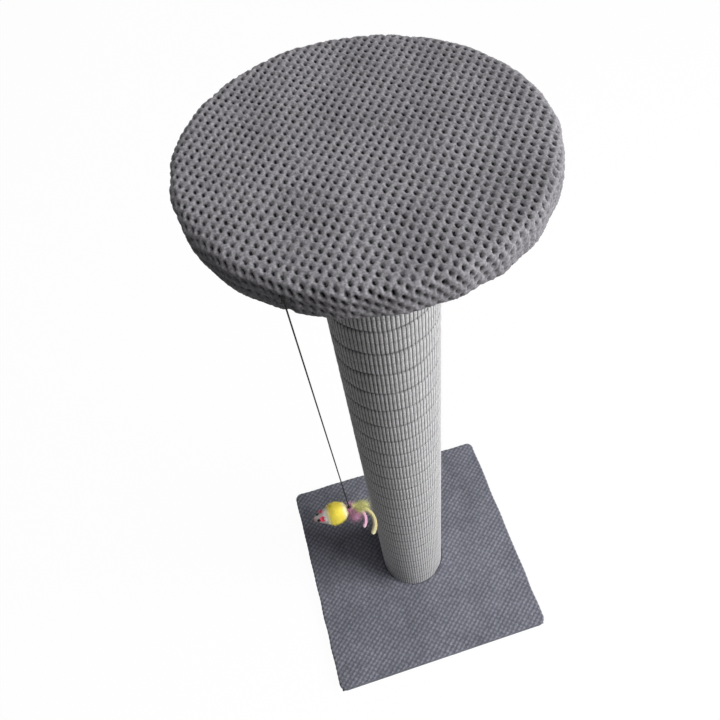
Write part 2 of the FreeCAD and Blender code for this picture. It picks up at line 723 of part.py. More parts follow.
# Tail tufts behind the binding, the yellow one beyond the pink one
PINK_X = "(%s + (sizes.binding_length + sizes.pink_tuft_length) / 2)" % CORD_X
pink_tuft = ellipsoid("pink_tuft", "sizes.pink_tuft_length / 2", "sizes.pink_tuft_radius",
                      PINK_X, CORD_Y, "%s - sizes.pink_tuft_drop" % TOY_Z)
yellow_blank = ellipsoid("yellow_tuft_blank", "sizes.yellow_tuft_length / 2", "sizes.yellow_tuft_radius",
                         "%s + sizes.yellow_tuft_from_pink" % PINK_X,
                         "%s + sizes.yellow_tuft_back" % CORD_Y, "%s + sizes.yellow_tuft_rise" % TOY_Z)
tuft_neighbours = fused("yellow_tuft_neighbours", [pink_tuft, tail_binding])
yellow_tuft = cut("yellow_tuft", yellow_blank, tuft_neighbours)


def feather(root, bend, sweep):
    """A flat feather that leaves the tail level and curls down on an arc."""
    bend = size(bend)
    half_width = size("sizes.feather_width") / 2
    half_thick = size("sizes.feather_thick") / 2

    def along(angle):
        return Vector(bend * math.sin(math.radians(angle)), 0, bend * (math.cos(math.radians(angle)) - 1))

    sweep = size(sweep)
    spine = Part.Wire([Part.Arc(along(0), along(sweep / 2), along(sweep)).toShape()])
    rim = [Vector(0, -half_width, -half_thick), Vector(0, half_width, -half_thick),
           Vector(0, half_width, half_thick), Vector(0, -half_width, half_thick)]
    strip = spine.makePipeShell([Part.makePolygon(rim + rim[:1])], True, False)
    start = Vector(size("%s + %s" % (CORD_X, root)), size(CORD_Y), size(TOY_Z))
    yaw = Rotation(Vector(0, 0, 1), size("sizes.feather_yaw"))
    return strip.transformed(Placement(start, yaw).toMatrix())


# Two feathers that come out of the tufts
pink_strip = made("pink_feather_strip", feather("sizes.pink_feather_root", "sizes.pink_feather_bend",
                                                "sizes.pink_feather_sweep"))
yellow_strip = made("yellow_feather_strip", feather("sizes.yellow_feather_root", "sizes.yellow_feather_bend",
                                                    "sizes.yellow_feather_sweep"))
tufts = fused("feather_neighbours", [pink_tuft, yellow_blank, tail_binding])
pink_feather = cut("pink_feather", pink_strip, tufts)
yellow_feather = cut("yellow_feather", yellow_strip, tufts)

# Every piece of the object, checked and then written to a file of its own name
NODES = [
    base_board, base_cover, base_staples, base_bolt, base_washer, lower_insert_nut,
    post_tube, lower_plug, upper_plug, plug_screws, post_winding,
    upper_insert_nut, top_stud, platform_insert_nut,
    platform_board, platform_pad, platform_cover, platform_staples,
    cord_staple, cord_top_knot, toy_cord, cord_end_knot, tail_binding,
    mouse_body, mouse_head, mouse_ears, mouse_eyes,
    pink_tuft, yellow_tuft, pink_feather, yellow_feather,
]
doc.recompute()
for item in doc.Objects:
    if "Invalid" in item.State or "Error" in item.State:
        raise RuntimeError("%s did not recompute: %s" % (item.Label, item.State))
for node in NODES:
    if node.Shape.isNull() or not node.Shape.isValid() or not node.Shape.Solids:
        raise RuntimeError("%s has no valid solid" % node.Label)
print("least gap between turns of the tape: %.2f mm" % least_tape_gap())
os.makedirs("parts", exist_ok=True)
for node in NODES:
    node.Shape.exportStep(os.path.join("parts", node.Label + ".step"))
    print("%-20s solids %2d  volume %11.1f mm3" % (node.Label, len(node.Shape.Solids), node.Shape.Volume))
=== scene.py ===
# %% [markdown]
# # A cat scratcher, piece by piece
# The object is a square base, a post wound with ribbed tape, a round platform and a toy mouse on a
# cord. The solid model gives every size and place. This lesson dresses it: the plush covers, the
# tape, the cord and the toy are modelled here, and the hidden boards and fastenings get materials.
# Lengths below are in millimetres unless a name says otherwise, and MM turns them into metres.

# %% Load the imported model
import bpy
import math
import numpy as np
from mathutils import Matrix, Vector


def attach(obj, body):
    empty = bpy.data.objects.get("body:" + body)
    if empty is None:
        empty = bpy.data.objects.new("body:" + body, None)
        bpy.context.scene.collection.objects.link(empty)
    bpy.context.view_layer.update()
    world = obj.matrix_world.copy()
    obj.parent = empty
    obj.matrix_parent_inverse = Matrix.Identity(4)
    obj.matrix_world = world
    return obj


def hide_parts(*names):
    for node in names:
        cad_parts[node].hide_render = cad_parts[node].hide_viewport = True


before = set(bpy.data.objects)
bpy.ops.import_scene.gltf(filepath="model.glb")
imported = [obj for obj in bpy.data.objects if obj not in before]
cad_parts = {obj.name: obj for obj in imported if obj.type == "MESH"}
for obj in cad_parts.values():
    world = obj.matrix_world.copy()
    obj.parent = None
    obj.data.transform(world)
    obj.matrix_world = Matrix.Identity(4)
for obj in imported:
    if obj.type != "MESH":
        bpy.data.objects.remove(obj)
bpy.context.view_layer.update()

MM = 0.001

# %% [markdown]
# ## Colours, nodes and pieces
# Colours are written as they look on a screen, in sRGB hex, and Blender shades in linear light, so
# one function converts them. Another adds a node, sets it and wires it, which keeps each material
# readable as a list of nodes. The next ones do what most pieces need, and the last gives a piece its
# material, its body and the solids that it stands for.

# %% Small helpers
def linear(code):
    """An sRGB hex colour as linear red, green, blue and alpha."""
    channels = [int(code[i:i + 2], 16) / 255 for i in (1, 3, 5)]
    return [c / 12.92 if c <= 0.04045 else ((c + 0.055) / 1.055) ** 2.4 for c in channels] + [1.0]


def wire(node, links):
    """Wire sockets, or the first outputs of other nodes, into a node."""
    for key, source in links.items():
        socket = source.outputs[0] if hasattr(source, "outputs") else source
        node.id_data.links.new(socket, node.inputs[key])


def add(tree, kind, settings=None, links=None):
    """Add a node. Settings with a capital or a number are sockets, and the others are its own."""
    node = tree.nodes.new("ShaderNode" + kind)
    for key, value in (settings or {}).items():
        if isinstance(key, str) and key[0].islower():
            setattr(node, key, value)
        else:
            node.inputs[key].default_value = linear(value) if isinstance(value, str) else value
    wire(node, links or {})
    return node


def new_material(name, settings):
    """A material with its tree of nodes and its main shader, which takes the settings."""
    material = bpy.data.materials.new(name)
    material.use_nodes = True
    tree = material.node_tree
    tree.nodes.clear()
    shader = add(tree, "BsdfPrincipled", settings)
    add(tree, "OutputMaterial", {}, {"Surface": shader})
    return material, tree, shader


def newest(name):
    """Name the object that the last operator made."""
    bpy.context.object.name = name
    return bpy.context.object


def select(piece, *others):
    """Select these pieces only, with the first one active."""
    bpy.ops.object.select_all(action="DESELECT")
    for one in (piece, *others):
        one.select_set(True)
    bpy.context.view_layer.objects.active = piece


def join(piece, *others):
    """Join other pieces to the first one."""
    select(piece, *others)
    bpy.ops.object.join()
    return piece


def settle(piece):
    """Put the piece's place, turn and scale into its mesh, and shade it smooth."""
    select(piece)
    bpy.ops.object.transform_apply()
    bpy.ops.object.shade_smooth()
    return piece


def finish_with(piece, kind, **settings):
    """Add a modifier, set it and apply it."""
    select(piece)
    modifier = piece.modifiers.new(kind.lower(), kind)
    for key, value in settings.items():
        setattr(modifier, key, value)
    bpy.ops.object.modifier_apply(modifier=modifier.name)


def pick(kind, elements=None, chosen=None):
    """Go into edit mode with the chosen points or faces of a mesh selected, or with all of them."""
    bpy.ops.object.mode_set(mode="EDIT")
    bpy.ops.mesh.select_mode(type=kind)
    bpy.ops.mesh.select_all(action="DESELECT" if elements else "SELECT")
    if elements:
        bpy.ops.object.mode_set(mode="OBJECT")
        elements.foreach_set("select", chosen)
        bpy.ops.object.mode_set(mode="EDIT")


def points_of(piece, unit=MM):
    """The piece's points, in millimetres or in another unit."""
    spots = np.empty(len(piece.data.vertices) * 3)
    piece.data.vertices.foreach_get("co", spots)
    return spots.reshape(-1, 3) / unit


def set_points(piece, spots, **notes):
    """Move the piece's points, and note values at them that its material reads by their name."""
    piece.data.vertices.foreach_set("co", (spots * MM).ravel())
    for name, values in notes.items():
        note = piece.data.attributes.new(name, "FLOAT", "POINT")
        note.data.foreach_set("value", values)
    piece.data.update()


def dress(piece, material, body, slot, *nodes):
    """Finish a piece: its material, the body that it rides on and the solids that it replaces."""
    piece.data.materials.clear()
    piece.data.materials.append(material)
    if nodes:
        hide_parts(*nodes)
    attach(piece, body)
    print("%-20s rides on %s" % (piece.name, body))


# %% [markdown]
# ## Camera
# The photograph looks down on the front of the scratcher from above the platform. A pinhole camera
# was fitted to the edges of the base, the post and the platform, and its numbers are used as they
# are. The optical axis isn't in the middle of the picture, so the lens has a small shift.

# %% Camera at the photograph's place
PICTURE_PX = 720
FOCAL_PX = 647.63
AXIS_PX = (391.16, 378.23)
SENSOR = 36
CAMERA_AT_M = (-0.08015, -0.40274, 1.30715)
yaw, pitch, roll = (math.radians(angle) for angle in (-11.16, 90 - 57.02, -6.74))

bpy.ops.object.camera_add(location=CAMERA_AT_M)
camera = newest("camera")
aim = Matrix.Rotation(yaw, 3, "Z") @ Matrix.Rotation(pitch, 3, "X") @ Matrix.Rotation(roll, 3, "Z")
camera.rotation_euler = aim.to_euler()
camera.data.sensor_width = SENSOR
camera.data.lens = SENSOR * FOCAL_PX / PICTURE_PX
camera.data.shift_x = 0.5 - AXIS_PX[0] / PICTURE_PX
camera.data.shift_y = AXIS_PX[1] / PICTURE_PX - 0.5
camera.data.clip_start = 0.01
bpy.context.scene.camera = camera

# %% [markdown]
# ## The cord
# A thin black cord is knotted to a wire staple in the platform's rim and hangs straight down to the
# toy. Its route is that of the solid cord: straight down, with a point a few diameters from each
# knot. A NURBS curve with a round bevel is the plain way to make it.

# %% Braided polyester cord
# Braided polyester, dyed black: matte, with strands that catch a little light in a spiral. They are
# drawn 8 mm apart, so that they show.
cord_black, tree, shader = new_material("braided_polyester_black", {
    "Roughness": 0.75, "Specular IOR Level": 0.2})
place = add(tree, "TexCoord")
braid = add(tree, "TexWave", {"bands_direction": "DIAGONAL", "Scale": 1 / (8 * MM), "Distortion": 0.5},
            {"Vector": place.outputs["Object"]})
dyed = add(tree, "Mix", {"data_type": "RGBA", 6: "#0b0a0c", 7: "#1c1b1d"}, {0: braid.outputs["Fac"]})
bump = add(tree, "Bump", {"Strength": 0.5, "Distance": 0.1 * MM}, {"Height": braid.outputs["Fac"]})
wire(shader, {"Base Color": dyed.outputs[2], "Normal": bump})

# %% Cord from the rim to the toy
CORD_RADIUS = 0.6
CORD_X, CORD_Y = -88.569, -119.694
CORD_TOP, CORD_END = 987.0, 633.0
KNOT_AT, TIE_AT = 989.0, 631.0
STRAIGHT = 7.2

bpy.ops.curve.primitive_nurbs_path_add()
cord = newest("hanging_cord")
cord.data.splines.clear()
heights = (CORD_TOP, CORD_TOP - STRAIGHT, CORD_END + STRAIGHT, CORD_END)
spline = cord.data.splines.new("NURBS")
spline.points.add(len(heights) - 1)
for point, height in zip(spline.points, heights):
    point.co = (CORD_X * MM, CORD_Y * MM, height * MM, 1.0)
spline.order_u = 3
spline.use_endpoint_u = True
spline.resolution_u = 12
cord.data.bevel_depth = CORD_RADIUS * MM
cord.data.bevel_resolution = 3
cord.data.use_fill_caps = True
dress(cord, cord_black, "cord", "black_cord", "toy_cord")

# %% [markdown]
# ## Knots
# The cord is tied to the staple above and to the mouse's tail below. An overhand knot in thin cord
# shows as a small ball of crossing turns, so three rings of cord, each turned another way, are joined.
# The upper one keeps the short end that is left after tying.

# %% Two knots
RING_RADIUS = 1.08
RING_TURNS = ((0.3, 0.2, 0), (1.5, 0.3, 0.7), (0.5, 1.4, -0.6))
SHORT_END, SHORT_END_OUT = 2.6, 2.2


def tied_knot(name, height):
    """A ball of three crossing turns of cord round a point of the cord's line."""
    rings = []
    for turn in RING_TURNS:
        bpy.ops.mesh.primitive_torus_add(
            location=(CORD_X * MM, CORD_Y * MM, height * MM), rotation=turn, major_segments=24,
            minor_segments=10, major_radius=RING_RADIUS * MM, minor_radius=CORD_RADIUS * MM)
        rings.insert(0, bpy.context.object)
    knot = join(*rings)
    knot.name = name
    return knot


upper_knot = tied_knot("upper_knot", KNOT_AT)
outward = Vector((CORD_X, CORD_Y, 0)).normalized()
bpy.ops.mesh.primitive_cylinder_add(
    vertices=12, radius=CORD_RADIUS * MM, depth=SHORT_END * MM,
    location=(Vector((CORD_X, CORD_Y, KNOT_AT)) + outward * SHORT_END_OUT) * MM,
    rotation=outward.to_track_quat("Z", "Y").to_euler())
short_end = bpy.context.object
bpy.ops.object.mode_set(mode="EDIT")
bpy.ops.mesh.bevel(offset=0.2 * MM, segments=2)
bpy.ops.object.mode_set(mode="OBJECT")
join(upper_knot, short_end)
dress(settle(upper_knot), cord_black, "cord_knot", "black_cord", "cord_top_knot")
lower_knot = settle(tied_knot("lower_knot", TIE_AT))
dress(lower_knot, cord_black, "toy", "black_cord", "cord_end_knot")

# %% [markdown]
# ## Tufted plush
# Base and platform wear the same honeycomb plush: rows of round tufts, staggered like bricks, with a
# small pit between every four. A bump map would leave the rim smooth, so the tufts are real: a flat
# grid is laid on the fabric's own lattice, each point is raised by the tufts near it, and the sheet
# is then folded round its board the way the cloth was stretched.

# %% How the tufts stand and how a sheet goes round an edge
TUFT_REACH = 5.0
TUFT_SHIFT = 0.035
CUT_MARGIN = 1.2
WAVES = 14
QUARTER = math.pi / 2


def ramp(values, start, width):
    """0 up to the start, then rising to 1 over the width."""
    return np.clip((values - start) / width, 0, 1)


def smooth_noise(chance, spots, wave):
    """A soft random field of about one unit, made of waves of roughly one length."""
    field = np.zeros(len(spots))
    for _ in range(WAVES):
        way = chance.normal(0, 1, spots.shape[1])
        way *= 2 * np.pi / wave * chance.uniform(0.6, 1.4) / np.linalg.norm(way)
        field += np.cos(spots @ way + chance.uniform(0, 2 * np.pi))
    return field / np.sqrt(WAVES / 2)


def tuft_lift(cells, lattice, seed, tuft_way=(0, 0), pit_way=(0, 0), pit_radius=1.6, uneven=0.06):
    """How far points of the cloth stand up, 0 to about 1, and how deep they are in a pit, 0 to 1.

    The tufts and the pits are each drawn out along a way, by as much as that vector is long, 0 to 1.
    """
    chance = np.random.default_rng(seed)
    span = int(np.abs(cells).max()) + 3
    shift = chance.normal(0, TUFT_SHIFT, (2 * span + 1, 2 * span + 1, 2))
    swell = chance.normal(1, uneven, (2 * span + 1, 2 * span + 1))
    corner = np.floor(cells).astype(int)
    total = np.zeros(len(cells))
    for step in ((0, 0), (1, 0), (0, 1), (1, 1)):
        tuft = corner + step
        index = (tuft[:, 0] + span, tuft[:, 1] + span)
        away = (cells - tuft - shift[index]) @ lattice
        dome = 1 - ((away ** 2).sum(1) - (away @ tuft_way) ** 2) / TUFT_REACH ** 2
        # A high power lets the highest of the four tufts win, with a soft valley between them.
        total += (swell[index] * np.sqrt(np.clip(dome, 0, None))) ** 6
    from_pit = (cells - corner - 0.5 - shift[corner[:, 0] + span, corner[:, 1] + span]) @ lattice
    pit = np.exp(-((from_pit ** 2).sum(1) - (from_pit @ pit_way) ** 2) / pit_radius ** 2)
    return total ** (1 / 6), pit


def edge_path(runs, step):
    """The cloth's path from the middle, over the edge and under: distance, reach, drop and tilt."""
    stops = np.cumsum([0] + [length for length, _ in runs])
    tilts = np.cumsum([0] + [turn for _, turn in runs])
    along = np.arange(0, stops[-1], step)
    halfway = np.interp(along + step / 2, stops, tilts)
    reach = np.concatenate([[0], np.cumsum(np.cos(halfway)) * step])
    drop = np.concatenate([[0], np.cumsum(np.sin(halfway)) * step])
    along = np.append(along, along[-1] + step)
    return along, reach, drop, np.interp(along, stops, tilts)


def plush_sheet(name, lattice, tuft_steps, half_count, keep, fold, seed, **ways):
    """A tufted sheet: a grid on the fabric's lattice, cut by keep, raised in tufts and folded."""
    faces = 2 * half_count * tuft_steps
    bpy.ops.mesh.primitive_grid_add(x_subdivisions=faces, y_subdivisions=faces, size=2 * half_count)
    sheet = newest(name)
    cells = points_of(sheet, unit=1)[:, :2]
    kept = keep(cells @ lattice)
    pick("VERT", sheet.data.vertices, ~kept)
    bpy.ops.mesh.delete(type="VERT")
    bpy.ops.object.mode_set(mode="OBJECT")
    cells = cells[kept]
    lift, pit = tuft_lift(cells, lattice, seed, **ways)
    spots, pile = fold(cells @ lattice, lift, pit, np.random.default_rng(seed + 1))
    set_points(sheet, spots, pile=pile)
    bpy.ops.object.shade_smooth()
    return sheet


# %% [markdown]
# The plush itself is brushed polyester: the tips of the pile are pale and a little shiny at a
# grazing angle. Between the tufts and in the pits its colour is painted shade, dark because little
# light gets down there. The attribute that each sheet carries is high on the tufts and low in that
# painted shade. Wide soft patches show where a hand has brushed the nap another way.

# %% Brushed polyester plush
def brushed_plush(name, tip, shaded_root, patch_mix, fibre):
    """Plush that is pale at the tips and dark with painted shade between the tufts, with brushed patches."""
    material, tree, shader = new_material(name, {
        "Roughness": 0.92, "Specular IOR Level": 0.15,
        "Sheen Weight": 0.25, "Sheen Roughness": 0.45, "Sheen Tint": tip})
    place = add(tree, "TexCoord")
    pile = add(tree, "Attribute", {"attribute_name": "pile"})
    deep = add(tree, "MapRange", {"interpolation_type": "SMOOTHSTEP", "From Min": 0.05, "From Max": 0.75},
               {"Value": pile.outputs["Fac"]})
    # Fibre bundles are about half a millimetre thick and drawn at 1.9 mm, so that they show.
    fibres = add(tree, "TexNoise", {"Scale": 1 / (1.9 * MM), "Detail": 3.0, "Roughness": 0.6},
                 {"Vector": place.outputs["Object"]})
    patches = add(tree, "TexNoise", {"Scale": 1 / (55 * MM), "Detail": 2.0},
                  {"Vector": place.outputs["Object"]})
    colour = add(tree, "Mix", {"data_type": "RGBA", 6: shaded_root, 7: tip}, {0: deep})
    speck = add(tree, "MapRange", {"From Min": 0.3, "From Max": 0.7, "To Min": 1 - fibre, "To Max": 1 + fibre},
                {"Value": fibres})
    brushed = add(tree, "MapRange",
                  {"From Min": 0.35, "From Max": 0.65, "To Min": 1 - patch_mix, "To Max": 1 + patch_mix},
                  {"Value": patches})
    level = add(tree, "Math", {"operation": "MULTIPLY"}, {0: speck, 1: brushed})
    lit = add(tree, "VectorMath", {"operation": "SCALE"}, {0: colour.outputs[2], "Scale": level})
    bump = add(tree, "Bump", {"Strength": 0.7, "Distance": 0.6 * MM}, {"Height": fibres})
    wire(shader, {"Base Color": lit, "Normal": bump})
    return material


# The platform's plush shows mid grey tufts, with nearly black painted shade in the pits between them.
platform_plush = brushed_plush("brushed_polyester_plush_mid_grey", "#7f7d81", "#0a090c", 0.07, 0.42)
# The base's plush is bluer and flatter: pale tufts on a ground that is only a little darker with painted shade.
base_plush = brushed_plush("brushed_polyester_plush_dark_grey", "#81828c", "#5e5f68", 0.09, 0.30)

# %% [markdown]
# ## Platform cover
# On the real platform one round piece of plush is pulled over the board and its pad, down the rim
# and a hand's breadth underneath, where staples hold it. The rows of tufts run straight across the
# top and are squeezed together a little round the rim, which the fold gives by itself.

# %% Plush over the platform
PLATFORM_TOP, PLATFORM_RADIUS = 1000.0, 147
PLATFORM_TUFT, PLATFORM_PIT = 1.43, 2.7
CROWN = 0.6
platform_lattice = np.array([[5.06, -5.39], [4.47, 6.14]])
# Each run is a length and the turn in it: top, upper edge, rim, lower edge, underside and cut edge.
platform_path = edge_path([
    (139, 0), (8 * QUARTER, QUARTER), (15, 0), (6 * QUARTER, QUARTER), (33, 0), (1, QUARTER), (2, 0)], step=0.1)
PLATFORM_CUT = platform_path[0][-1]
# Distances from the middle at which parts of the cloth begin, and over which they set in.
RIM, GAPE, LOW_RIM, PRESSED, UNDERSIDE = (136, 14), (150, 6), (152, 20), (153, 4), (174, 12)
CORD_WAY = np.array([math.cos(math.radians(-126.5)), math.sin(math.radians(-126.5))])
GROOVE_HALF, GROOVE_DEPTH = 3.5, 1.3


def over_platform(flat, lift, pit, chance):
    """Fold a flat sheet over the round platform and raise its tufts."""
    away = np.hypot(flat[:, 0], flat[:, 1])
    out = flat / np.maximum(away, 1e-9)[:, None]
    away = np.minimum(away, PLATFORM_CUT)
    along, *path = platform_path
    reach, drop, tilt = (np.interp(away, along, values) for values in path)
    rim, low, under = ramp(away, *RIM), ramp(away, *LOW_RIM), ramp(away, *UNDERSIDE)
    # The pits gape where the cloth turns over the edge, and close up below it.
    pit = pit * (1 - 0.5 * ramp(away, *GAPE))
    proud = (PLATFORM_TUFT * (lift - 0.75) - PLATFORM_PIT * pit) * (1 + 0.5 * rim - 0.8 * low)
    proud += chance.normal(0, 0.13, len(flat))
    proud += rim * (1 - under) * 0.4 * smooth_noise(chance, out * PLATFORM_RADIUS, 40)
    proud += (1 - rim) * 0.4 * smooth_noise(chance, flat, 90)
    # The hanging cord has pressed a narrow groove into the pile of the rim.
    from_cord = PLATFORM_RADIUS * (out[:, 1] * CORD_WAY[0] - out[:, 0] * CORD_WAY[1])
    groove = np.exp(-((from_cord / GROOVE_HALF) ** 2)) * ramp(away, *PRESSED) * (out @ CORD_WAY > 0)
    proud = proud * (1 - groove) - GROOVE_DEPTH * groove
    reach = reach + proud * np.sin(tilt)
    height = PLATFORM_TOP - drop + proud * np.cos(tilt) + CROWN * (1 - rim)
    brushed = np.clip(0.94 + 0.07 * smooth_noise(chance, flat, 45), 0.7, 1)
    # Painted shade: the colour darkens in the valleys between tufts and goes nearly black in the pits, a little
    # less in brushed patches.
    shade = ramp(lift, 0.355, 0.45) * (1 - ramp(pit, 0, 0.625))
    shade = 1 - brushed * (1 - shade) + chance.normal(0, 0.06, len(flat))
    return np.column_stack([out * reach[:, None], height]), shade


platform_cover = plush_sheet(
    "platform_plush_cover", platform_lattice, 6, 31,
    lambda flat: np.hypot(flat[:, 0], flat[:, 1]) < PLATFORM_CUT + CUT_MARGIN,
    over_platform, seed=11, tuft_way=(0.51, -0.54), pit_way=(0, 0.9), pit_radius=1.1)
dress(platform_cover, platform_plush, "stand", "platform_plush", "platform_cover")
print("platform cover cut to %.0f mm across" % (2 * PLATFORM_CUT))

# %% [markdown]
# ## Base cover
# The base wears the same fabric, turned another way and pressed flatter. Its cloth goes over the
# square board's edge and corners, so the fold measures how far a point is outside an inner square
# and walks that far along the edge's path. Under the post the pile is pressed down flat.

# %% Plush over the base
BASE_HALF, BASE_CORNER, BASE_TOP = 200.0, 12.0, 17.0
BASE_INNER = BASE_HALF - BASE_CORNER
BASE_TUFT, BASE_PIT = 1.76, 0.36
BASE_UNDERSIDE = (22, 4)
POST_FOOT, POST_RADIUS = 14.5, 57.5
PRESSED_TO = POST_FOOT - 0.2
PRESSED_WIDTH = 3
base_lattice = np.array([[5.65, 4.70], [-5.65, 4.70]])
base_path = edge_path([
    (9, 0), (3 * QUARTER, QUARTER), (12.5, 0), (1.5 * QUARTER, QUARTER), (0.6, 0)], step=0.05)
BASE_CUT = base_path[0][-1]


def outside_square(flat):
    """How far points are outside the inner square, which way, and the nearest point of it."""
    inner = np.clip(flat, -BASE_INNER, BASE_INNER)
    apart = flat - inner
    away = np.hypot(apart[:, 0], apart[:, 1])
    return away, apart / np.maximum(away, 1e-9)[:, None], inner


def over_base(flat, lift, pit, chance):
    """Fold a flat sheet over the square base and raise its tufts."""
    away, out, inner = outside_square(flat)
    away = np.minimum(away, BASE_CUT)
    along, *path = base_path
    reach, drop, tilt = (np.interp(away, along, values) for values in path)
    above = 1 - ramp(away, *BASE_UNDERSIDE)
    proud = (BASE_TUFT * (lift - 0.8) - BASE_PIT * pit) * above
    proud += above * chance.normal(0, 0.1, len(flat))
    proud += above * 0.35 * smooth_noise(chance, flat, 70)
    reach = reach + proud * np.sin(tilt)
    height = BASE_TOP - drop + proud * np.cos(tilt)
    from_post = np.hypot(flat[:, 0], flat[:, 1]) - POST_RADIUS
    free = ramp(from_post, 0, PRESSED_WIDTH) ** 0.6
    height = np.where(from_post < PRESSED_WIDTH, PRESSED_TO + (height - PRESSED_TO) * free, height)
    # Painted shade: the colour darkens between the rows of tufts and in the pits, and a painted contact shadow
    # darkens it from 3 mm outside the post's foot to 7 mm under it.
    shade = (0.1 + 0.62 * ramp(lift, 0.74, 0.26) ** 1.2) * (1 - 0.5 * pit)
    shade = (shade + chance.normal(0, 0.03, len(flat))) * ramp(from_post, -7, 10)
    return np.column_stack([inner + out * reach[:, None], height]), shade


base_cover = plush_sheet(
    "base_plush_cover", base_lattice, 5, 45,
    lambda flat: outside_square(flat)[0] < BASE_CUT + CUT_MARGIN,
    over_base, seed=23, tuft_way=(0.40, 0.33), pit_way=(0.544, 0.452), uneven=0.03)

# %% [markdown]
# Underneath, the cloth is turned in as a flat hem, mitred at the corners. A plane with its middle
# inset and taken away has just those mitres. It is a piece of its own, so that the sheet above can
# spend its faces on tufts.

# %% Hem under the base
HEM_WIDTH, HEM_THICK, HEM_PILE = 30.0, 0.8, 0.4
bpy.ops.mesh.primitive_plane_add(size=2 * (BASE_HALF - 1.5) * MM, location=(0, 0, 0.6 * MM))
base_hem = newest("base_hem")
bpy.ops.object.mode_set(mode="EDIT")
bpy.ops.mesh.inset(thickness=HEM_WIDTH * MM)
bpy.ops.mesh.delete(type="FACE")
bpy.ops.mesh.select_all(action="SELECT")
bpy.ops.mesh.subdivide(number_cuts=24)
bpy.ops.mesh.flip_normals()
bpy.ops.object.mode_set(mode="OBJECT")
settle(base_hem)
spots = points_of(base_hem)
lift, pit = tuft_lift(spots[:, :2] @ np.linalg.inv(base_lattice), base_lattice, seed=29)
spots[:, 2] -= HEM_PILE * lift
# Painted shade: the hem's colour darkens between the tufts and in the pits.
set_points(base_hem, spots, pile=lift * (1 - pit))
finish_with(base_hem, "SOLIDIFY", thickness=HEM_THICK * MM)
dress(base_cover, base_plush, "stand", "base_plush", "base_cover")
dress(base_hem, base_plush, "stand", "base_plush")

# %% [markdown]
# ## Wound tape
# The post is wound with a flat ribbed tape that climbs as a right hand screw, about 27 turns of
# 36 mm. Its ribs stand upright, 4.4 mm apart, and its rounded edges meet in a line that painted shade
# makes dark. The tape is one long strip, so one long grid is made of it, four points to a rib, and
# rolled round the tube. Both ends are trimmed level with the foot and the head of the post.

# %% Ribbed tape round the post
POST_HEAD = 974.5
TAPE_RISE = 36.05
TAPE_TAIL, TAPE_START = 0.02, 0.18
RIB, RIB_DEPTH = 4.4, 0.75
EDGE_WIDTH, EDGE_DEPTH = 3.4, 1.7
MIDDLE_HALF, MIDDLE_DEPTH = 1.5, 0.2
TUCK_IN, TUCK_UP = 0.45, 0.9
turn_length = 2 * math.pi * POST_RADIUS
tape_turns = (POST_HEAD - POST_FOOT) / TAPE_RISE + 1 - 2 * TAPE_TAIL
tape_length = tape_turns * turn_length
rib_count = round(tape_length / RIB)
tape_rows = np.array([0, 0.8, 2.4, 8.0, 15.6, 18.0, 20.4, 28.0, 33.6, 35.2, TAPE_RISE])

bpy.ops.mesh.primitive_grid_add(x_subdivisions=4 * rib_count, y_subdivisions=len(tape_rows) - 1, size=2)
tape = newest("ribbed_tape")
column, row = ((points_of(tape, unit=1)[:, :2] + 1) / 2).T
row = np.rint(row * (len(tape_rows) - 1)).astype(int)
across = tape_rows[row]
turns = TAPE_TAIL + column * tape_turns
chance = np.random.default_rng(5)
sway_turns = np.arange(-400, 4000) / 100.0
sway = 0.5 * smooth_noise(chance, sway_turns[:, None], 0.21)


def edge_height(number):
    """Height of the tape's lower edge after so many turns, a little uneven as it was wound by hand."""
    wander = np.interp(number, sway_turns, sway)
    return np.clip(POST_FOOT + (number - 1) * TAPE_RISE + wander, POST_FOOT, POST_HEAD)


low, high = edge_height(turns), edge_height(turns + 1)
height = low + (high - low) * across / TAPE_RISE
# Only a woven edge is round: where the foot or the head of the post trims the tape, it stays full.
from_edge = np.minimum(np.where(low > POST_FOOT + 0.3, height - low, TAPE_RISE),
                       np.where(high < POST_HEAD - 0.3, high - height, TAPE_RISE))
middle = np.exp(-(((across - TAPE_RISE / 2) / MIDDLE_HALF) ** 2))
rib = 0.5 + 0.5 * np.cos(2 * np.pi * column * rib_count)
# The seam is tight in some places and gapes a little in others.
gape = np.interp(turns + (across > TAPE_RISE / 2), sway_turns,
                 smooth_noise(chance, sway_turns[:, None], 0.13))
gape = 0.85 + 0.15 * np.clip(gape, -1, 1)
rounded = (1 - ramp(from_edge, 0, EDGE_WIDTH)) ** 2 * gape
radius = POST_RADIUS - RIB_DEPTH - EDGE_DEPTH * rounded - MIDDLE_DEPTH * middle
radius += RIB_DEPTH * np.sqrt(rib) * (1 - rounded) * (1 - 0.2 * middle)
radius += chance.normal(0, 0.07, len(radius))
# The upper edge is tucked a little behind the next turn, so that no card shows through the seam.
tucked = (row == len(tape_rows) - 1) & (high < POST_HEAD - 1)
radius = radius - TUCK_IN * tucked
height = height + TUCK_UP * tucked
angle = 2 * np.pi * (turns - TAPE_START)
# The attribute is painted shade: it falls at the tape's rounded edges, most where the seam gapes, and a little
# along its middle.
set_points(tape, np.column_stack([radius * np.cos(angle), radius * np.sin(angle), height]),
           crown=np.clip((1 - rounded) * (1 - 0.25 * middle), 0, 1))
own_map = tape.data.uv_layers[0]
corner_points = np.empty(len(tape.data.loops), dtype=int)
tape.data.loops.foreach_get("vertex_index", corner_points)
own_map.data.foreach_set("uv", np.column_stack([column, across / TAPE_RISE])[corner_points].ravel())
bpy.ops.object.shade_smooth()
print("tape: %.2f m long, %d ribs, %.1f turns" % (tape_length * MM, rib_count, tape_turns))

# %% [markdown]
# The tape is a thick knitted polyester: each rib is a chain of small pale loops, with grey shadow
# between the ribs and single darker threads in the loops. The loops are drawn on the tape's own UV
# map, which runs along its length, because the pattern has to turn the corner with the tape.

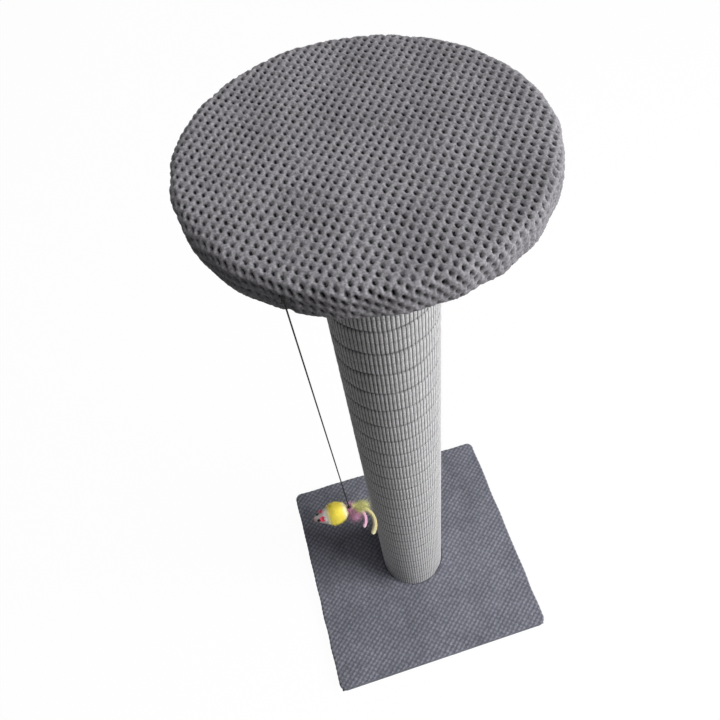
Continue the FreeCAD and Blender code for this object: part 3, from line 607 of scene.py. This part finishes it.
# %% Knitted polyester tape
# Knitted, matte polyester: pale loops flecked like salt and pepper, on a dark grey that is painted shade in the
# grooves, at the seams and along the middle.
tape_knit, tree, shader = new_material("knitted_polyester_tape_pale_grey", {
    "Roughness": 0.85, "Specular IOR Level": 0.25, "Sheen Weight": 0.1})
on_tape = add(tree, "UVMap", {"uv_map": own_map.name})
in_mm = add(tree, "VectorMath", {"operation": "MULTIPLY", 1: (tape_length, TAPE_RISE, 1)}, {0: on_tape})
# Painted shade darkens the groove between two ribs, and a loop of the knit is 1.2 mm wide and 1.5 mm high.
rib_side = add(tree, "SeparateXYZ", {}, {0: in_mm})
for operation, value in (("DIVIDE", tape_length / rib_count), ("FRACT", 0), ("SUBTRACT", 0.5), ("ABSOLUTE", 0)):
    rib_side = add(tree, "Math", {"operation": operation, 1: value}, {0: rib_side})
rib_shade = add(tree, "MapRange", {"interpolation_type": "SMOOTHSTEP", "From Max": 0.25}, {"Value": rib_side})
loop_map = add(tree, "VectorMath", {"operation": "DIVIDE", 1: (1.2, 1.5, 1)}, {0: in_mm})
loops = add(tree, "TexVoronoi", {"Scale": 1.0, "Randomness": 0.8}, {"Vector": loop_map})
loop_shade = add(tree, "MapRange", {"From Min": 0.1, "From Max": 0.7, "To Min": 1.0, "To Max": 0.0},
                 {"Value": loops})
fleck_map = add(tree, "VectorMath", {"operation": "DIVIDE", 1: (1.1, 1.6, 1)}, {0: in_mm})
flecks = add(tree, "TexNoise", {"Scale": 1.0, "Detail": 2.0}, {"Vector": fleck_map})
fleck_shade = add(tree, "MapRange", {"From Min": 0.43, "From Max": 0.57}, {"Value": flecks})
thread_level = add(tree, "Math", {"operation": "MULTIPLY"}, {0: loop_shade, 1: fleck_shade})
thread = add(tree, "Mix", {"data_type": "RGBA", 6: "#b6b5b7", 7: "#ffffff"}, {0: thread_level})
# Painted shade: the grooves between ribs, the seams and the tape's middle take the dark grey.
crown = add(tree, "Attribute", {"attribute_name": "crown"})
groove_level = add(tree, "Math", {"operation": "MULTIPLY"}, {0: rib_shade, 1: crown.outputs["Fac"]})
knit = add(tree, "Mix", {"data_type": "RGBA", 6: "#313032"}, {0: groove_level, 7: thread.outputs[2]})
bump = add(tree, "Bump", {"Strength": 0.6, "Distance": 0.5 * MM}, {"Height": thread_level})
wire(shader, {"Base Color": knit.outputs[2], "Normal": bump})
dress(tape, tape_knit, "stand", "ribbed_tape", "post_winding")

# %% [markdown]
# ## Wadding under the platform's plush
# A thin disc of fibre wadding lies between the platform's board and its cover, which is why the top
# feels soft. A cylinder gets its two faces inset, and subdivision then rounds its edge off like a cut
# of wadding. Small lumps come from moving its points.

# %% Wadding pad
PAD_RADIUS, PAD_THICK, PAD_AT = 142.6, 2.8, 994
PAD_LUMP = 0.12
bpy.ops.mesh.primitive_cylinder_add(
    vertices=96, radius=PAD_RADIUS * MM, depth=PAD_THICK * MM, location=(0, 0, PAD_AT * MM))
pad = settle(newest("wadding_pad"))
pick("FACE", pad.data.polygons, [abs(face.normal.z) > 0.9 for face in pad.data.polygons])
for width in (3, 30, 40, 40):
    bpy.ops.mesh.inset(thickness=width * MM)
bpy.ops.mesh.poke()
bpy.ops.object.mode_set(mode="OBJECT")
finish_with(pad, "SUBSURF", levels=1)
spots = points_of(pad)
chance = np.random.default_rng(41)
spots[:, 2] += PAD_LUMP * smooth_noise(chance, spots[:, :2], 35)
set_points(pad, spots, tint=ramp(np.abs(smooth_noise(chance, spots[:, :2], 12)), 0, 2.5))

# %% [markdown]
# Wadding, felt, short plush and down are all fibres that scatter light, so one function makes their
# material: a main colour, an edge colour where the attribute "tint" asks for it, and a fine grain
# that lightens and darkens both, with a bump of the same grain.

# %% Fibres that scatter light
def soft_fibre(name, main, edge, depth, grain):
    """A matte fibre material with a grain of so many millimetres that is so deep in tone."""
    material, tree, shader = new_material(name, {
        "Roughness": 0.95, "Specular IOR Level": 0.1, "Sheen Weight": 0.15})
    place = add(tree, "TexCoord")
    tint = add(tree, "Attribute", {"attribute_name": "tint"})
    grains = add(tree, "TexNoise", {"Scale": 1 / (grain * MM), "Detail": 2.0},
                 {"Vector": place.outputs["Object"]})
    colour = add(tree, "Mix", {"data_type": "RGBA", 6: main, 7: edge}, {0: tint.outputs["Fac"]})
    level = add(tree, "MapRange",
                {"From Min": 0.3, "From Max": 0.7, "To Min": 1 - depth, "To Max": 1 + 0.6 * depth},
                {"Value": grains})
    lit = add(tree, "VectorMath", {"operation": "SCALE"}, {0: colour.outputs[2], "Scale": level})
    bump = add(tree, "Bump", {"Strength": 0.5, "Distance": 0.2 * grain * MM}, {"Height": grains})
    wire(shader, {"Base Color": lit, "Normal": bump})
    return material


# Polyester wadding: dull white, with greyer hollows between its clumps of fibre.
wadding = soft_fibre("polyester_wadding_white", "#e4e4df", "#cfcfc8", 0.12, 2.5)
# Short plush, dyed yellow: an even bright pile that is left cream at the neck, belly and rump.
yellow_plush = soft_fibre("short_plush_yellow", "#e4d452", "#f4eed6", 0.06, 1.6)
# Short undyed plush: pale grey and speckled, and pink at the nose.
grey_plush = soft_fibre("short_plush_pale_grey", "#d6d0cc", "#e0b4ae", 0.14, 1.2)
# Pressed wool felt, dyed red: matte and mottled, darker in the cup of the ear.
red_felt = soft_fibre("wool_felt_red", "#c8485f", "#86101f", 0.18, 0.8)
# Dyed down: soft barbs that are mauve inside the tuft and paler where the light comes through.
pink_down = soft_fibre("dyed_down_pink", "#b27a99", "#d6aac2", 0.15, 2.0)
# Dyed down: pale yellow barbs with dull green ones among them.
yellow_down = soft_fibre("dyed_down_yellow_green", "#dcd892", "#a2a868", 0.18, 2.0)
# Dyed feather vanes: barbs that lie flat and close, paler along the shaft and at the tip.
pink_vane = soft_fibre("dyed_feather_pink", "#e2aac8", "#f3d8e4", 0.15, 0.9)
cream_vane = soft_fibre("dyed_feather_cream", "#dacd94", "#ebe4c2", 0.15, 0.9)
dress(pad, wadding, "stand", "wadding", "platform_pad")

# %% [markdown]
# ## Toy mouse: body and head
# The mouse is two small stuffed bags of plush, a round body and a tapering head. Each skin starts
# as a circle that is pushed out and resized ring by ring along the mouse, the way a lathe turner
# reads a profile, and subdivision smooths it. A little unevenness makes it look stuffed by hand.

# %% Two stuffed skins
TOY_Z = 626.3
BODY_MIDDLE, BODY_HALF, BODY_RADIUS = -105.2, 14.19, 11.7
BODY_ENDS = (-91.6, -115.4)
BODY_RINGS = [(x, BODY_RADIUS * math.sqrt(1 - ((x - BODY_MIDDLE) / BODY_HALF) ** 2))
              for x in np.linspace(*BODY_ENDS, 15)]
HEAD_RINGS = [(-114.2, 8.9), (-116, 8.6), (-118, 7.7), (-120.5, 6.35), (-123, 5.0), (-125.5, 3.8),
              (-127.6, 2.8), (-128.8, 1.9), (-129.4, 0.9)]


def on_mouse(x):
    """A point of the mouse's own line, in metres."""
    return x * MM, CORD_Y * MM, TOY_Z * MM


def ringed_skin(name, rings):
    """A closed skin along X: a circle, pushed out and resized ring by ring."""
    bpy.ops.mesh.primitive_circle_add(
        vertices=40, radius=rings[0][1] * MM, fill_type="NGON",
        location=on_mouse(rings[0][0]), rotation=(0, QUARTER, 0))
    skin = settle(newest(name))
    pick("FACE")
    for (here, now), (there, then) in zip(rings, rings[1:]):
        bpy.ops.mesh.extrude_region_move(TRANSFORM_OT_translate={"value": ((there - here) * MM, 0, 0)})
        bpy.ops.transform.resize(value=(1, then / now, then / now), center_override=on_mouse(there))
    bpy.ops.mesh.select_all(action="SELECT")
    bpy.ops.mesh.fill_holes(sides=0)
    bpy.ops.mesh.normals_make_consistent(inside=False)
    bpy.ops.object.mode_set(mode="OBJECT")
    finish_with(skin, "SUBSURF", levels=1)
    bpy.ops.object.shade_smooth()
    return skin


def stuffed(skin, chance, lump, wave, tint_at):
    """Make a skin uneven by lumps of so many millimetres, and tint it."""
    spots = points_of(skin)
    spots += lump * np.column_stack([smooth_noise(chance, spots, wave) for _ in range(3)])
    set_points(skin, spots, tint=tint_at(spots))


def body_tint(spots):
    """Cream towards the neck, the belly and the rump, and yellow in between."""
    neck = ramp(-spots[:, 0], 110.6, 3.0)
    belly = 0.8 * ramp(TOY_Z - spots[:, 2], 6.5, 4.5)
    rump = 0.75 * ramp(spots[:, 0], -97.5, 4.0)
    return np.max([neck, belly, rump], axis=0)


def nose_tint(spots):
    """Pink at the nose."""
    return ramp(-spots[:, 0], 126.6, 2.2)


chance = np.random.default_rng(51)
body = ringed_skin("mouse_plush_body", BODY_RINGS)
stuffed(body, chance, 0.1, 9, body_tint)
dress(body, yellow_plush, "toy", "yellow_plush", "mouse_body")
head = ringed_skin("mouse_plush_head", HEAD_RINGS)
stuffed(head, chance, 0.15, 7, nose_tint)
dress(head, grey_plush, "toy", "grey_plush", "mouse_head")

# %% [markdown]
# The plush is short hair, and at this size single hairs show at the outline. Operators can't comb
# hairs one by one, so a function writes one mesh of thin tapered blades: each starts at a root, goes
# its own way and bends over. The skins' own points and normals give the roots of the short hair.

# %% Short hair
EYES = [(-124.07, CORD_Y + side * 3.62, TOY_Z + 2.73) for side in (-1, 1)]
EYE_CLEAR = 2.7
HAIR_WIDTH = 0.3


def fibres(name, roots, ways, length, width, bend, tint, seed):
    """One mesh of thin tapered blades of three faces each."""
    chance = np.random.default_rng(seed)
    steps = np.linspace(0, 1, 4)[:, None]
    ways = ways / np.linalg.norm(ways, axis=1)[:, None]
    sides = np.cross(ways, chance.normal(0, 1, ways.shape))
    sides /= np.linalg.norm(sides, axis=1)[:, None]
    along = length[:, None, None] * steps
    line = roots[:, None] + ways[:, None] * along + bend[:, None] * along * steps
    half = 0.5 * width * (1 - 0.75 * steps) * sides[:, None]
    points = np.stack([line - half, line + half], axis=2).reshape(-1, 3)
    first = 8 * np.arange(len(roots))[:, None] + 2 * np.arange(3)[None]
    faces = np.stack([first, first + 1, first + 3, first + 2], axis=2).reshape(-1, 4)
    mesh = bpy.data.meshes.new(name)
    mesh.from_pydata((points * MM).tolist(), [], faces.tolist())
    tuft = bpy.data.objects.new(name, mesh)
    bpy.context.collection.objects.link(tuft)
    set_points(tuft, points, tint=np.repeat(tint, 8))
    return tuft


def short_hair(name, skin, count, length, tint_at, seed):
    """Hair on a skin, combed towards the tail and kept off the eyes."""
    chance = np.random.default_rng(seed)
    normals = np.empty(len(skin.data.vertices) * 3)
    skin.data.vertices.foreach_get("normal", normals)
    chosen = chance.integers(0, len(skin.data.vertices), count)
    roots = points_of(skin)[chosen]
    ways = normals.reshape(-1, 3)[chosen] + (0.5, 0, 0) + chance.normal(0, 0.4, (count, 3))
    clear = np.min([np.linalg.norm(roots - eye, axis=1) for eye in EYES], axis=0) > EYE_CLEAR
    roots, ways, count = roots[clear], ways[clear], int(clear.sum())
    return fibres(name, roots, ways, chance.uniform(0.5, 1, count) * length, HAIR_WIDTH,
                  chance.normal(0, 0.25, (count, 3)) - (0, 0, 0.15), tint_at(roots), seed + 1)


body_hair = short_hair("mouse_body_hair", body, 3600, 1.8, body_tint, seed=61)
dress(body_hair, yellow_plush, "toy", "yellow_plush")
head_hair = short_hair("mouse_head_hair", head, 1200, 0.9, nose_tint, seed=67)
dress(head_hair, grey_plush, "toy", "grey_plush")

# %% [markdown]
# ## Ears
# Two round pieces of red felt are sewn flat on the head, a little cupped. A filled circle is inset
# and pushed in three times to make the cup, gets its thickness from Solidify and is smoothed. The
# second ear is a copy that leans the other way.

# %% Cupped felt ears
EAR_RADIUS, EAR_THICK = 3.1, 0.7
EAR_X, EAR_LEAN, EAR_OUT = -119.57, 39, 7.9


def pair_on_head(piece, x, lean, out):
    """Set a piece at a place along the head, leaning and so far out, and a copy on the other side."""
    twin = piece.copy()
    twin.data = piece.data.copy()
    bpy.context.collection.objects.link(twin)
    for one, angle in ((piece, lean), (twin, -lean)):
        turn = Matrix.Rotation(math.radians(angle), 4, "X")
        one.matrix_world = Matrix.Translation(on_mouse(x)) @ turn @ Matrix.Translation((0, 0, out * MM))
    return settle(join(piece, twin))


bpy.ops.mesh.primitive_circle_add(vertices=28, radius=EAR_RADIUS * MM, fill_type="NGON")
ears = newest("felt_ears")
pick("FACE")
for width, sink in ((0.5, -0.1), (0.8, -0.4), (0.9, -0.3)):
    bpy.ops.mesh.inset(thickness=width * MM, depth=sink * MM)
bpy.ops.object.mode_set(mode="OBJECT")
finish_with(ears, "SOLIDIFY", thickness=EAR_THICK * MM)
finish_with(ears, "SUBSURF", levels=1)
spots = points_of(ears)
set_points(ears, spots, tint=1 - ramp(np.hypot(spots[:, 0], spots[:, 1]), 0, 2.6))
dress(pair_on_head(ears, EAR_X, EAR_LEAN, EAR_OUT), red_felt, "toy", "red_felt", "mouse_ears")

# %% [markdown]
# ## Eyes
# The eyes are two black glass beads, a little longer than wide, sewn on in front of the ears. A
# sphere is stretched along the head and its underside is cut off and filled, so that the bead sits
# flat on the plush. The glass is black with a faint cloud in it, and glossy.

# %% Bead eyes
EYE_RADIUS, EYE_CUT = 1.7, -0.9
EYE_X, EYE_LEAN, EYE_OUT = -124.2, 53, 4.7
bpy.ops.mesh.primitive_uv_sphere_add(segments=24, ring_count=14, radius=EYE_RADIUS * MM)
eyes = newest("bead_eyes")
pick("FACE")
bpy.ops.transform.resize(value=(1.25, 1.0, 0.85), center_override=(0, 0, 0))
bpy.ops.mesh.bisect(plane_co=(0, 0, EYE_CUT * MM), plane_no=(0, 0, 1), clear_inner=True, use_fill=True)
bpy.ops.object.mode_set(mode="OBJECT")
# Pressed black glass: a deep black with a small sharp glint and a faint cloud.
bead_glass, tree, shader = new_material("black_glass_bead", {"Roughness": 0.12, "Specular IOR Level": 0.2})
place = add(tree, "TexCoord")
cloud = add(tree, "TexNoise", {"Scale": 1 / (0.8 * MM)}, {"Vector": place.outputs["Object"]})
black = add(tree, "Mix", {"data_type": "RGBA", 6: "#040304", 7: "#100e12"}, {0: cloud})
wire(shader, {"Base Color": black.outputs[2]})
dress(pair_on_head(eyes, EYE_X, EYE_LEAN, EYE_OUT), bead_glass, "toy", "black_bead", "mouse_eyes")

# %% [markdown]
# ## Tail
# Cord, down and feathers are bound to the rump with a few turns of thread. One ring of thread is
# made and an array lays its neighbours beside it.

# %% Thread binding
BINDING_X, BINDING_RADIUS, THREAD_RADIUS = -86.2, 2.9, 0.6
bpy.ops.mesh.primitive_torus_add(
    location=on_mouse(BINDING_X), rotation=(0, QUARTER, 0.08), major_segments=28, minor_segments=8,
    major_radius=BINDING_RADIUS * MM, minor_radius=THREAD_RADIUS * MM)
binding = settle(newest("tail_thread"))
finish_with(binding, "ARRAY", count=6, use_relative_offset=False, use_constant_offset=True,
            constant_offset_displace=(-1.0 * MM, 0, 0))
bpy.ops.object.shade_smooth()
spots = points_of(binding)
set_points(binding, spots, tint=np.full(len(spots), 0.2))
dress(binding, pink_down, "toy", "pink_feather", "tail_binding")

# %% [markdown]
# The tail is two tufts of dyed down, a pink one behind the rump and a yellow green one above it. Down
# has no shape of its own: a few thousand soft barbs spread from one quill and fill the space of the
# solid, some of them in the edge colour. A pink collar hides the thread.

# %% Down tufts
COLLAR_COUNT, COLLAR_RADIUS, COLLAR_WIDTH = 260, 3.2, 0.5
COLLAR_ENDS = (-91.5, -85.5)


def down_tuft(name, quill, middle, reach, count, width, seed):
    """Barbs that spread from a quill and fill a round space."""
    chance = np.random.default_rng(seed)
    spread = chance.normal(0, 1, (count, 3))
    spread /= np.linalg.norm(spread, axis=1)[:, None]
    aims = middle + spread * reach * chance.uniform(0.2, 1, (count, 1)) ** 0.5
    roots = quill + chance.normal(0, 0.9, (count, 3))
    ways = aims - roots
    return fibres(name, roots, ways, np.linalg.norm(ways, axis=1), width,
                  chance.normal(0, 0.16, (count, 3)) - (0, 0, 0.1), chance.uniform(0, 1, count) ** 2, seed + 1)


pink_tuft = down_tuft("pink_down", (-88, CORD_Y, TOY_Z), (-84, CORD_Y - 2, 619), (9, 9.5, 11),
                      count=3800, width=0.27, seed=71)
chance = np.random.default_rng(75)
around = chance.uniform(0, 2 * math.pi, COLLAR_COUNT)
ring = np.column_stack([np.zeros(COLLAR_COUNT), np.cos(around), np.sin(around)])
roots = ring * COLLAR_RADIUS + (0, CORD_Y, TOY_Z)
roots[:, 0] += chance.uniform(*COLLAR_ENDS, COLLAR_COUNT)
collar = fibres("pink_collar", roots, ring + (0.7, 0, 0) + chance.normal(0, 0.4, ring.shape),
                chance.uniform(3, 7, COLLAR_COUNT), COLLAR_WIDTH, chance.normal(0, 0.2, ring.shape),
                chance.uniform(0.2, 1, COLLAR_COUNT), seed=76)
dress(join(pink_tuft, collar), pink_down, "toy", "pink_feather", "pink_tuft")
yellow_tuft = down_tuft("yellow_green_down", (-85, -119.0, 628.5), (-75.5, -120.5, 624.5), (10.5, 7, 6.5),
                        count=2400, width=0.26, seed=81)
dress(yellow_tuft, yellow_down, "toy", "yellow_feather", "yellow_tuft")

# %% [markdown]
# ## Feathers
# Two narrow feathers, a pink and a longer cream one, droop from the tail and curl to the front.
# Each is a flat grid that is laid along its arc, narrow at the quill and blunt at the end, a little
# cupped, with a raised shaft and ragged edges.

# %% Two drooping feathers
FEATHER_STEPS = 32
FEATHER_SWEEP = 138
FEATHER_THICK = 0.35
OUT, SIDE, UP = np.array([1, 0, 0]), np.array([0, 0.6, -0.8]), np.array([0, 0.8, 0.6])
# How far along the feather, and which share of its full width it has there.
FEATHER_PROFILE = ([0, 0.12, 0.5, 0.93, 1], [0.35, 0.8, 1.0, 1.1, 0.8])


def feather(name, start_x, bend, width, seed):
    """A strip that curls down along an arc, in a plane that leans to the front."""
    bpy.ops.mesh.primitive_grid_add(x_subdivisions=8, y_subdivisions=FEATHER_STEPS, size=2)
    strip = newest(name)
    across, along = points_of(strip, unit=1)[:, :2].T
    along = (along + 1) / 2
    ragged = np.random.default_rng(seed).normal(0, 1, FEATHER_STEPS + 1)
    ragged = ragged[np.rint(along * FEATHER_STEPS).astype(int)]
    half = 0.5 * width * np.interp(along, *FEATHER_PROFILE) * (1 + 0.07 * ragged * np.abs(across))
    raised = 0.3 * np.exp(-(across / 0.2) ** 2) - 0.6 * across ** 2
    angle = along[:, None] * math.radians(FEATHER_SWEEP)
    face = np.sin(angle) * OUT + np.cos(angle) * UP
    spots = np.array([start_x, CORD_Y, TOY_Z]) + bend * np.sin(angle) * OUT + bend * (np.cos(angle) - 1) * UP
    # The vane is turned on its shaft, so that its flat shows from above.
    spots = spots + (across * half)[:, None] * (0.9 * face - 0.44 * SIDE)
    spots = spots - raised[:, None] * (0.9 * SIDE + 0.44 * face)
    tint = np.minimum(np.exp(-(across / 0.25) ** 2) + ramp(along, 0.85, 0.25), 1)
    set_points(strip, spots, tint=tint)
    finish_with(strip, "SOLIDIFY", thickness=FEATHER_THICK * MM, offset=0.0)
    finish_with(strip, "SUBSURF", levels=1)
    bpy.ops.object.shade_smooth()
    return strip


pink_strip = feather("pink_feather_vane", CORD_X, bend=14, width=4.0, seed=91)
dress(pink_strip, pink_vane, "toy", "pink_feather", "pink_feather")
cream_strip = feather("cream_feather_vane", CORD_X + 3, bend=20, width=5.0, seed=93)
dress(cream_strip, cream_vane, "toy", "yellow_feather", "yellow_feather")

# %% [markdown]
# ## Boards, tube and fastenings
# These solids have the right shape already, so they stay and only get materials. Most are hidden, and
# show when the part is taken apart: pressed board with its chips, wound card, zinc plated steel and
# the wire that the cord is tied to, which is coloured nearly black as painted shade.

# %% Materials of the solid pieces
def grained(name, pale, dark, grain, roughness, metal, voronoi=False):
    """A hard material with a grain of so many millimetres in its colour, roughness and bump."""
    material, tree, shader = new_material(name, {"Metallic": metal})
    place = add(tree, "TexCoord")
    kind = "TexVoronoi" if voronoi else "TexNoise"
    grains = add(tree, kind, {"Scale": 1 / (grain * MM)}, {"Vector": place.outputs["Object"]})
    amount = grains.outputs["Color" if voronoi else "Fac"]
    colour = add(tree, "Mix", {"data_type": "RGBA", 6: dark, 7: pale}, {0: amount})
    rough = add(tree, "MapRange", {"To Min": roughness - 0.08, "To Max": roughness + 0.08}, {"Value": amount})
    bump = add(tree, "Bump", {"Strength": 0.3, "Distance": 0.05 * grain * MM}, {"Height": amount})
    wire(shader, {"Base Color": colour.outputs[2], "Roughness": rough, "Normal": bump})
    return material


solid_finishes = {
    # Pressed board: glued chips of pale wood, 3 mm across.
    grained("pressed_board", "#c9a877", "#8f6d45", 3.0, 0.82, 0.0, voronoi=True):
        ("base_board", "platform_board", "lower_plug", "upper_plug"),
    # Wound card: kraft paper with short fibres.
    grained("wound_card", "#b4946a", "#957449", 1.6, 0.88, 0.0): ("post_tube",),
    # Zinc plated steel: cloudy and half matte.
    grained("zinc_plated_steel", "#d2d4d8", "#9da1a8", 1.2, 0.34, 1.0):
        ("base_staples", "base_bolt", "base_washer", "lower_insert_nut", "plug_screws", "upper_insert_nut",
         "top_stud", "platform_insert_nut", "platform_staples"),
    # Steel wire coloured nearly black as painted shade, so that the staple stays dark among the rim's tufts.
    grained("dark_wire_painted_shade", "#2a292c", "#141315", 0.8, 0.55, 0.0): ("cord_staple",),
}
for material, names in solid_finishes.items():
    for name in names:
        for material_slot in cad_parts[name].material_slots:
            material_slot.material = material

# %% [markdown]
# ## Floor, light and background
# The studio is plain: a white floor, a large soft lamp at the right as from a window, one overhead, a
# weak one behind and a little light from all round. Floor and background are white where the eye
# sees them, and give the object little light.

# %% Floor
PAPER_GLOW = 0.965


def eye_rays(tree):
    """The light path node, and a value that is 1 where the eye looks, also by gloss or through glass."""
    rays = add(tree, "LightPath")
    direct = add(tree, "Math", {"operation": "MAXIMUM"},
                 {0: rays.outputs["Is Camera Ray"], 1: rays.outputs["Is Glossy Ray"]})
    seen = add(tree, "Math", {"operation": "MAXIMUM"}, {0: direct, 1: rays.outputs["Is Transmission Ray"]})
    return rays, seen


bpy.ops.mesh.primitive_plane_add(size=12)
floor = newest("floor")
# Matte paper: white to the eye, while the object gets no more light from it than from a grey one.
paper, tree, shader = new_material("matte_white_paper", {"Roughness": 0.9})
rays, seen = eye_rays(tree)
paper_colour = add(tree, "Mix", {"data_type": "RGBA", 6: "#a0a0a0", 7: "#f4f4f4"},
                   {0: rays.outputs["Is Camera Ray"]})
wire(shader, {"Base Color": paper_colour.outputs[2]})
glow = add(tree, "Emission")
share = add(tree, "Math", {"operation": "MULTIPLY", 1: PAPER_GLOW}, {0: seen})
mixed = add(tree, "MixShader", {}, {0: share, 1: shader, 2: glow})
wire(tree.nodes["Material Output"], {"Surface": mixed})
floor.data.materials.append(paper)

# %% Lamps and world
# Each lamp's place and side in metres, and its power in watts.
LAMPS = {"window_light": ((2.30, -1.22, 1.95), 1.7, 125),
         "ceiling_light": ((0.9, -0.9, 5.0), 2.0, 86),
         "room_light": ((0.2, 2.7, 1.5), 2.0, 9)}
LAMP_AIM_M = Vector((0, 0, 0.55))
ROOM_GLOW = 0.07
for name, (spot, side, power) in LAMPS.items():
    bpy.ops.object.light_add(type="AREA", location=spot)
    lamp = newest(name)
    lamp.data.size = side
    lamp.data.energy = power
    lamp.rotation_euler = (LAMP_AIM_M - lamp.location).to_track_quat("-Z", "Y").to_euler()

world = bpy.data.worlds.new("studio")
bpy.context.scene.world = world
world.use_nodes = True
tree = world.node_tree
tree.nodes.clear()
rays, seen = eye_rays(tree)
strength = add(tree, "MapRange", {"To Min": ROOM_GLOW, "To Max": 1.0}, {"Value": seen})
sky = add(tree, "Background", {"Color": (1, 1, 1, 1)}, {"Strength": strength})
add(tree, "OutputWorld", {}, {"Surface": sky})
bpy.context.scene.view_settings.view_transform = "Standard"
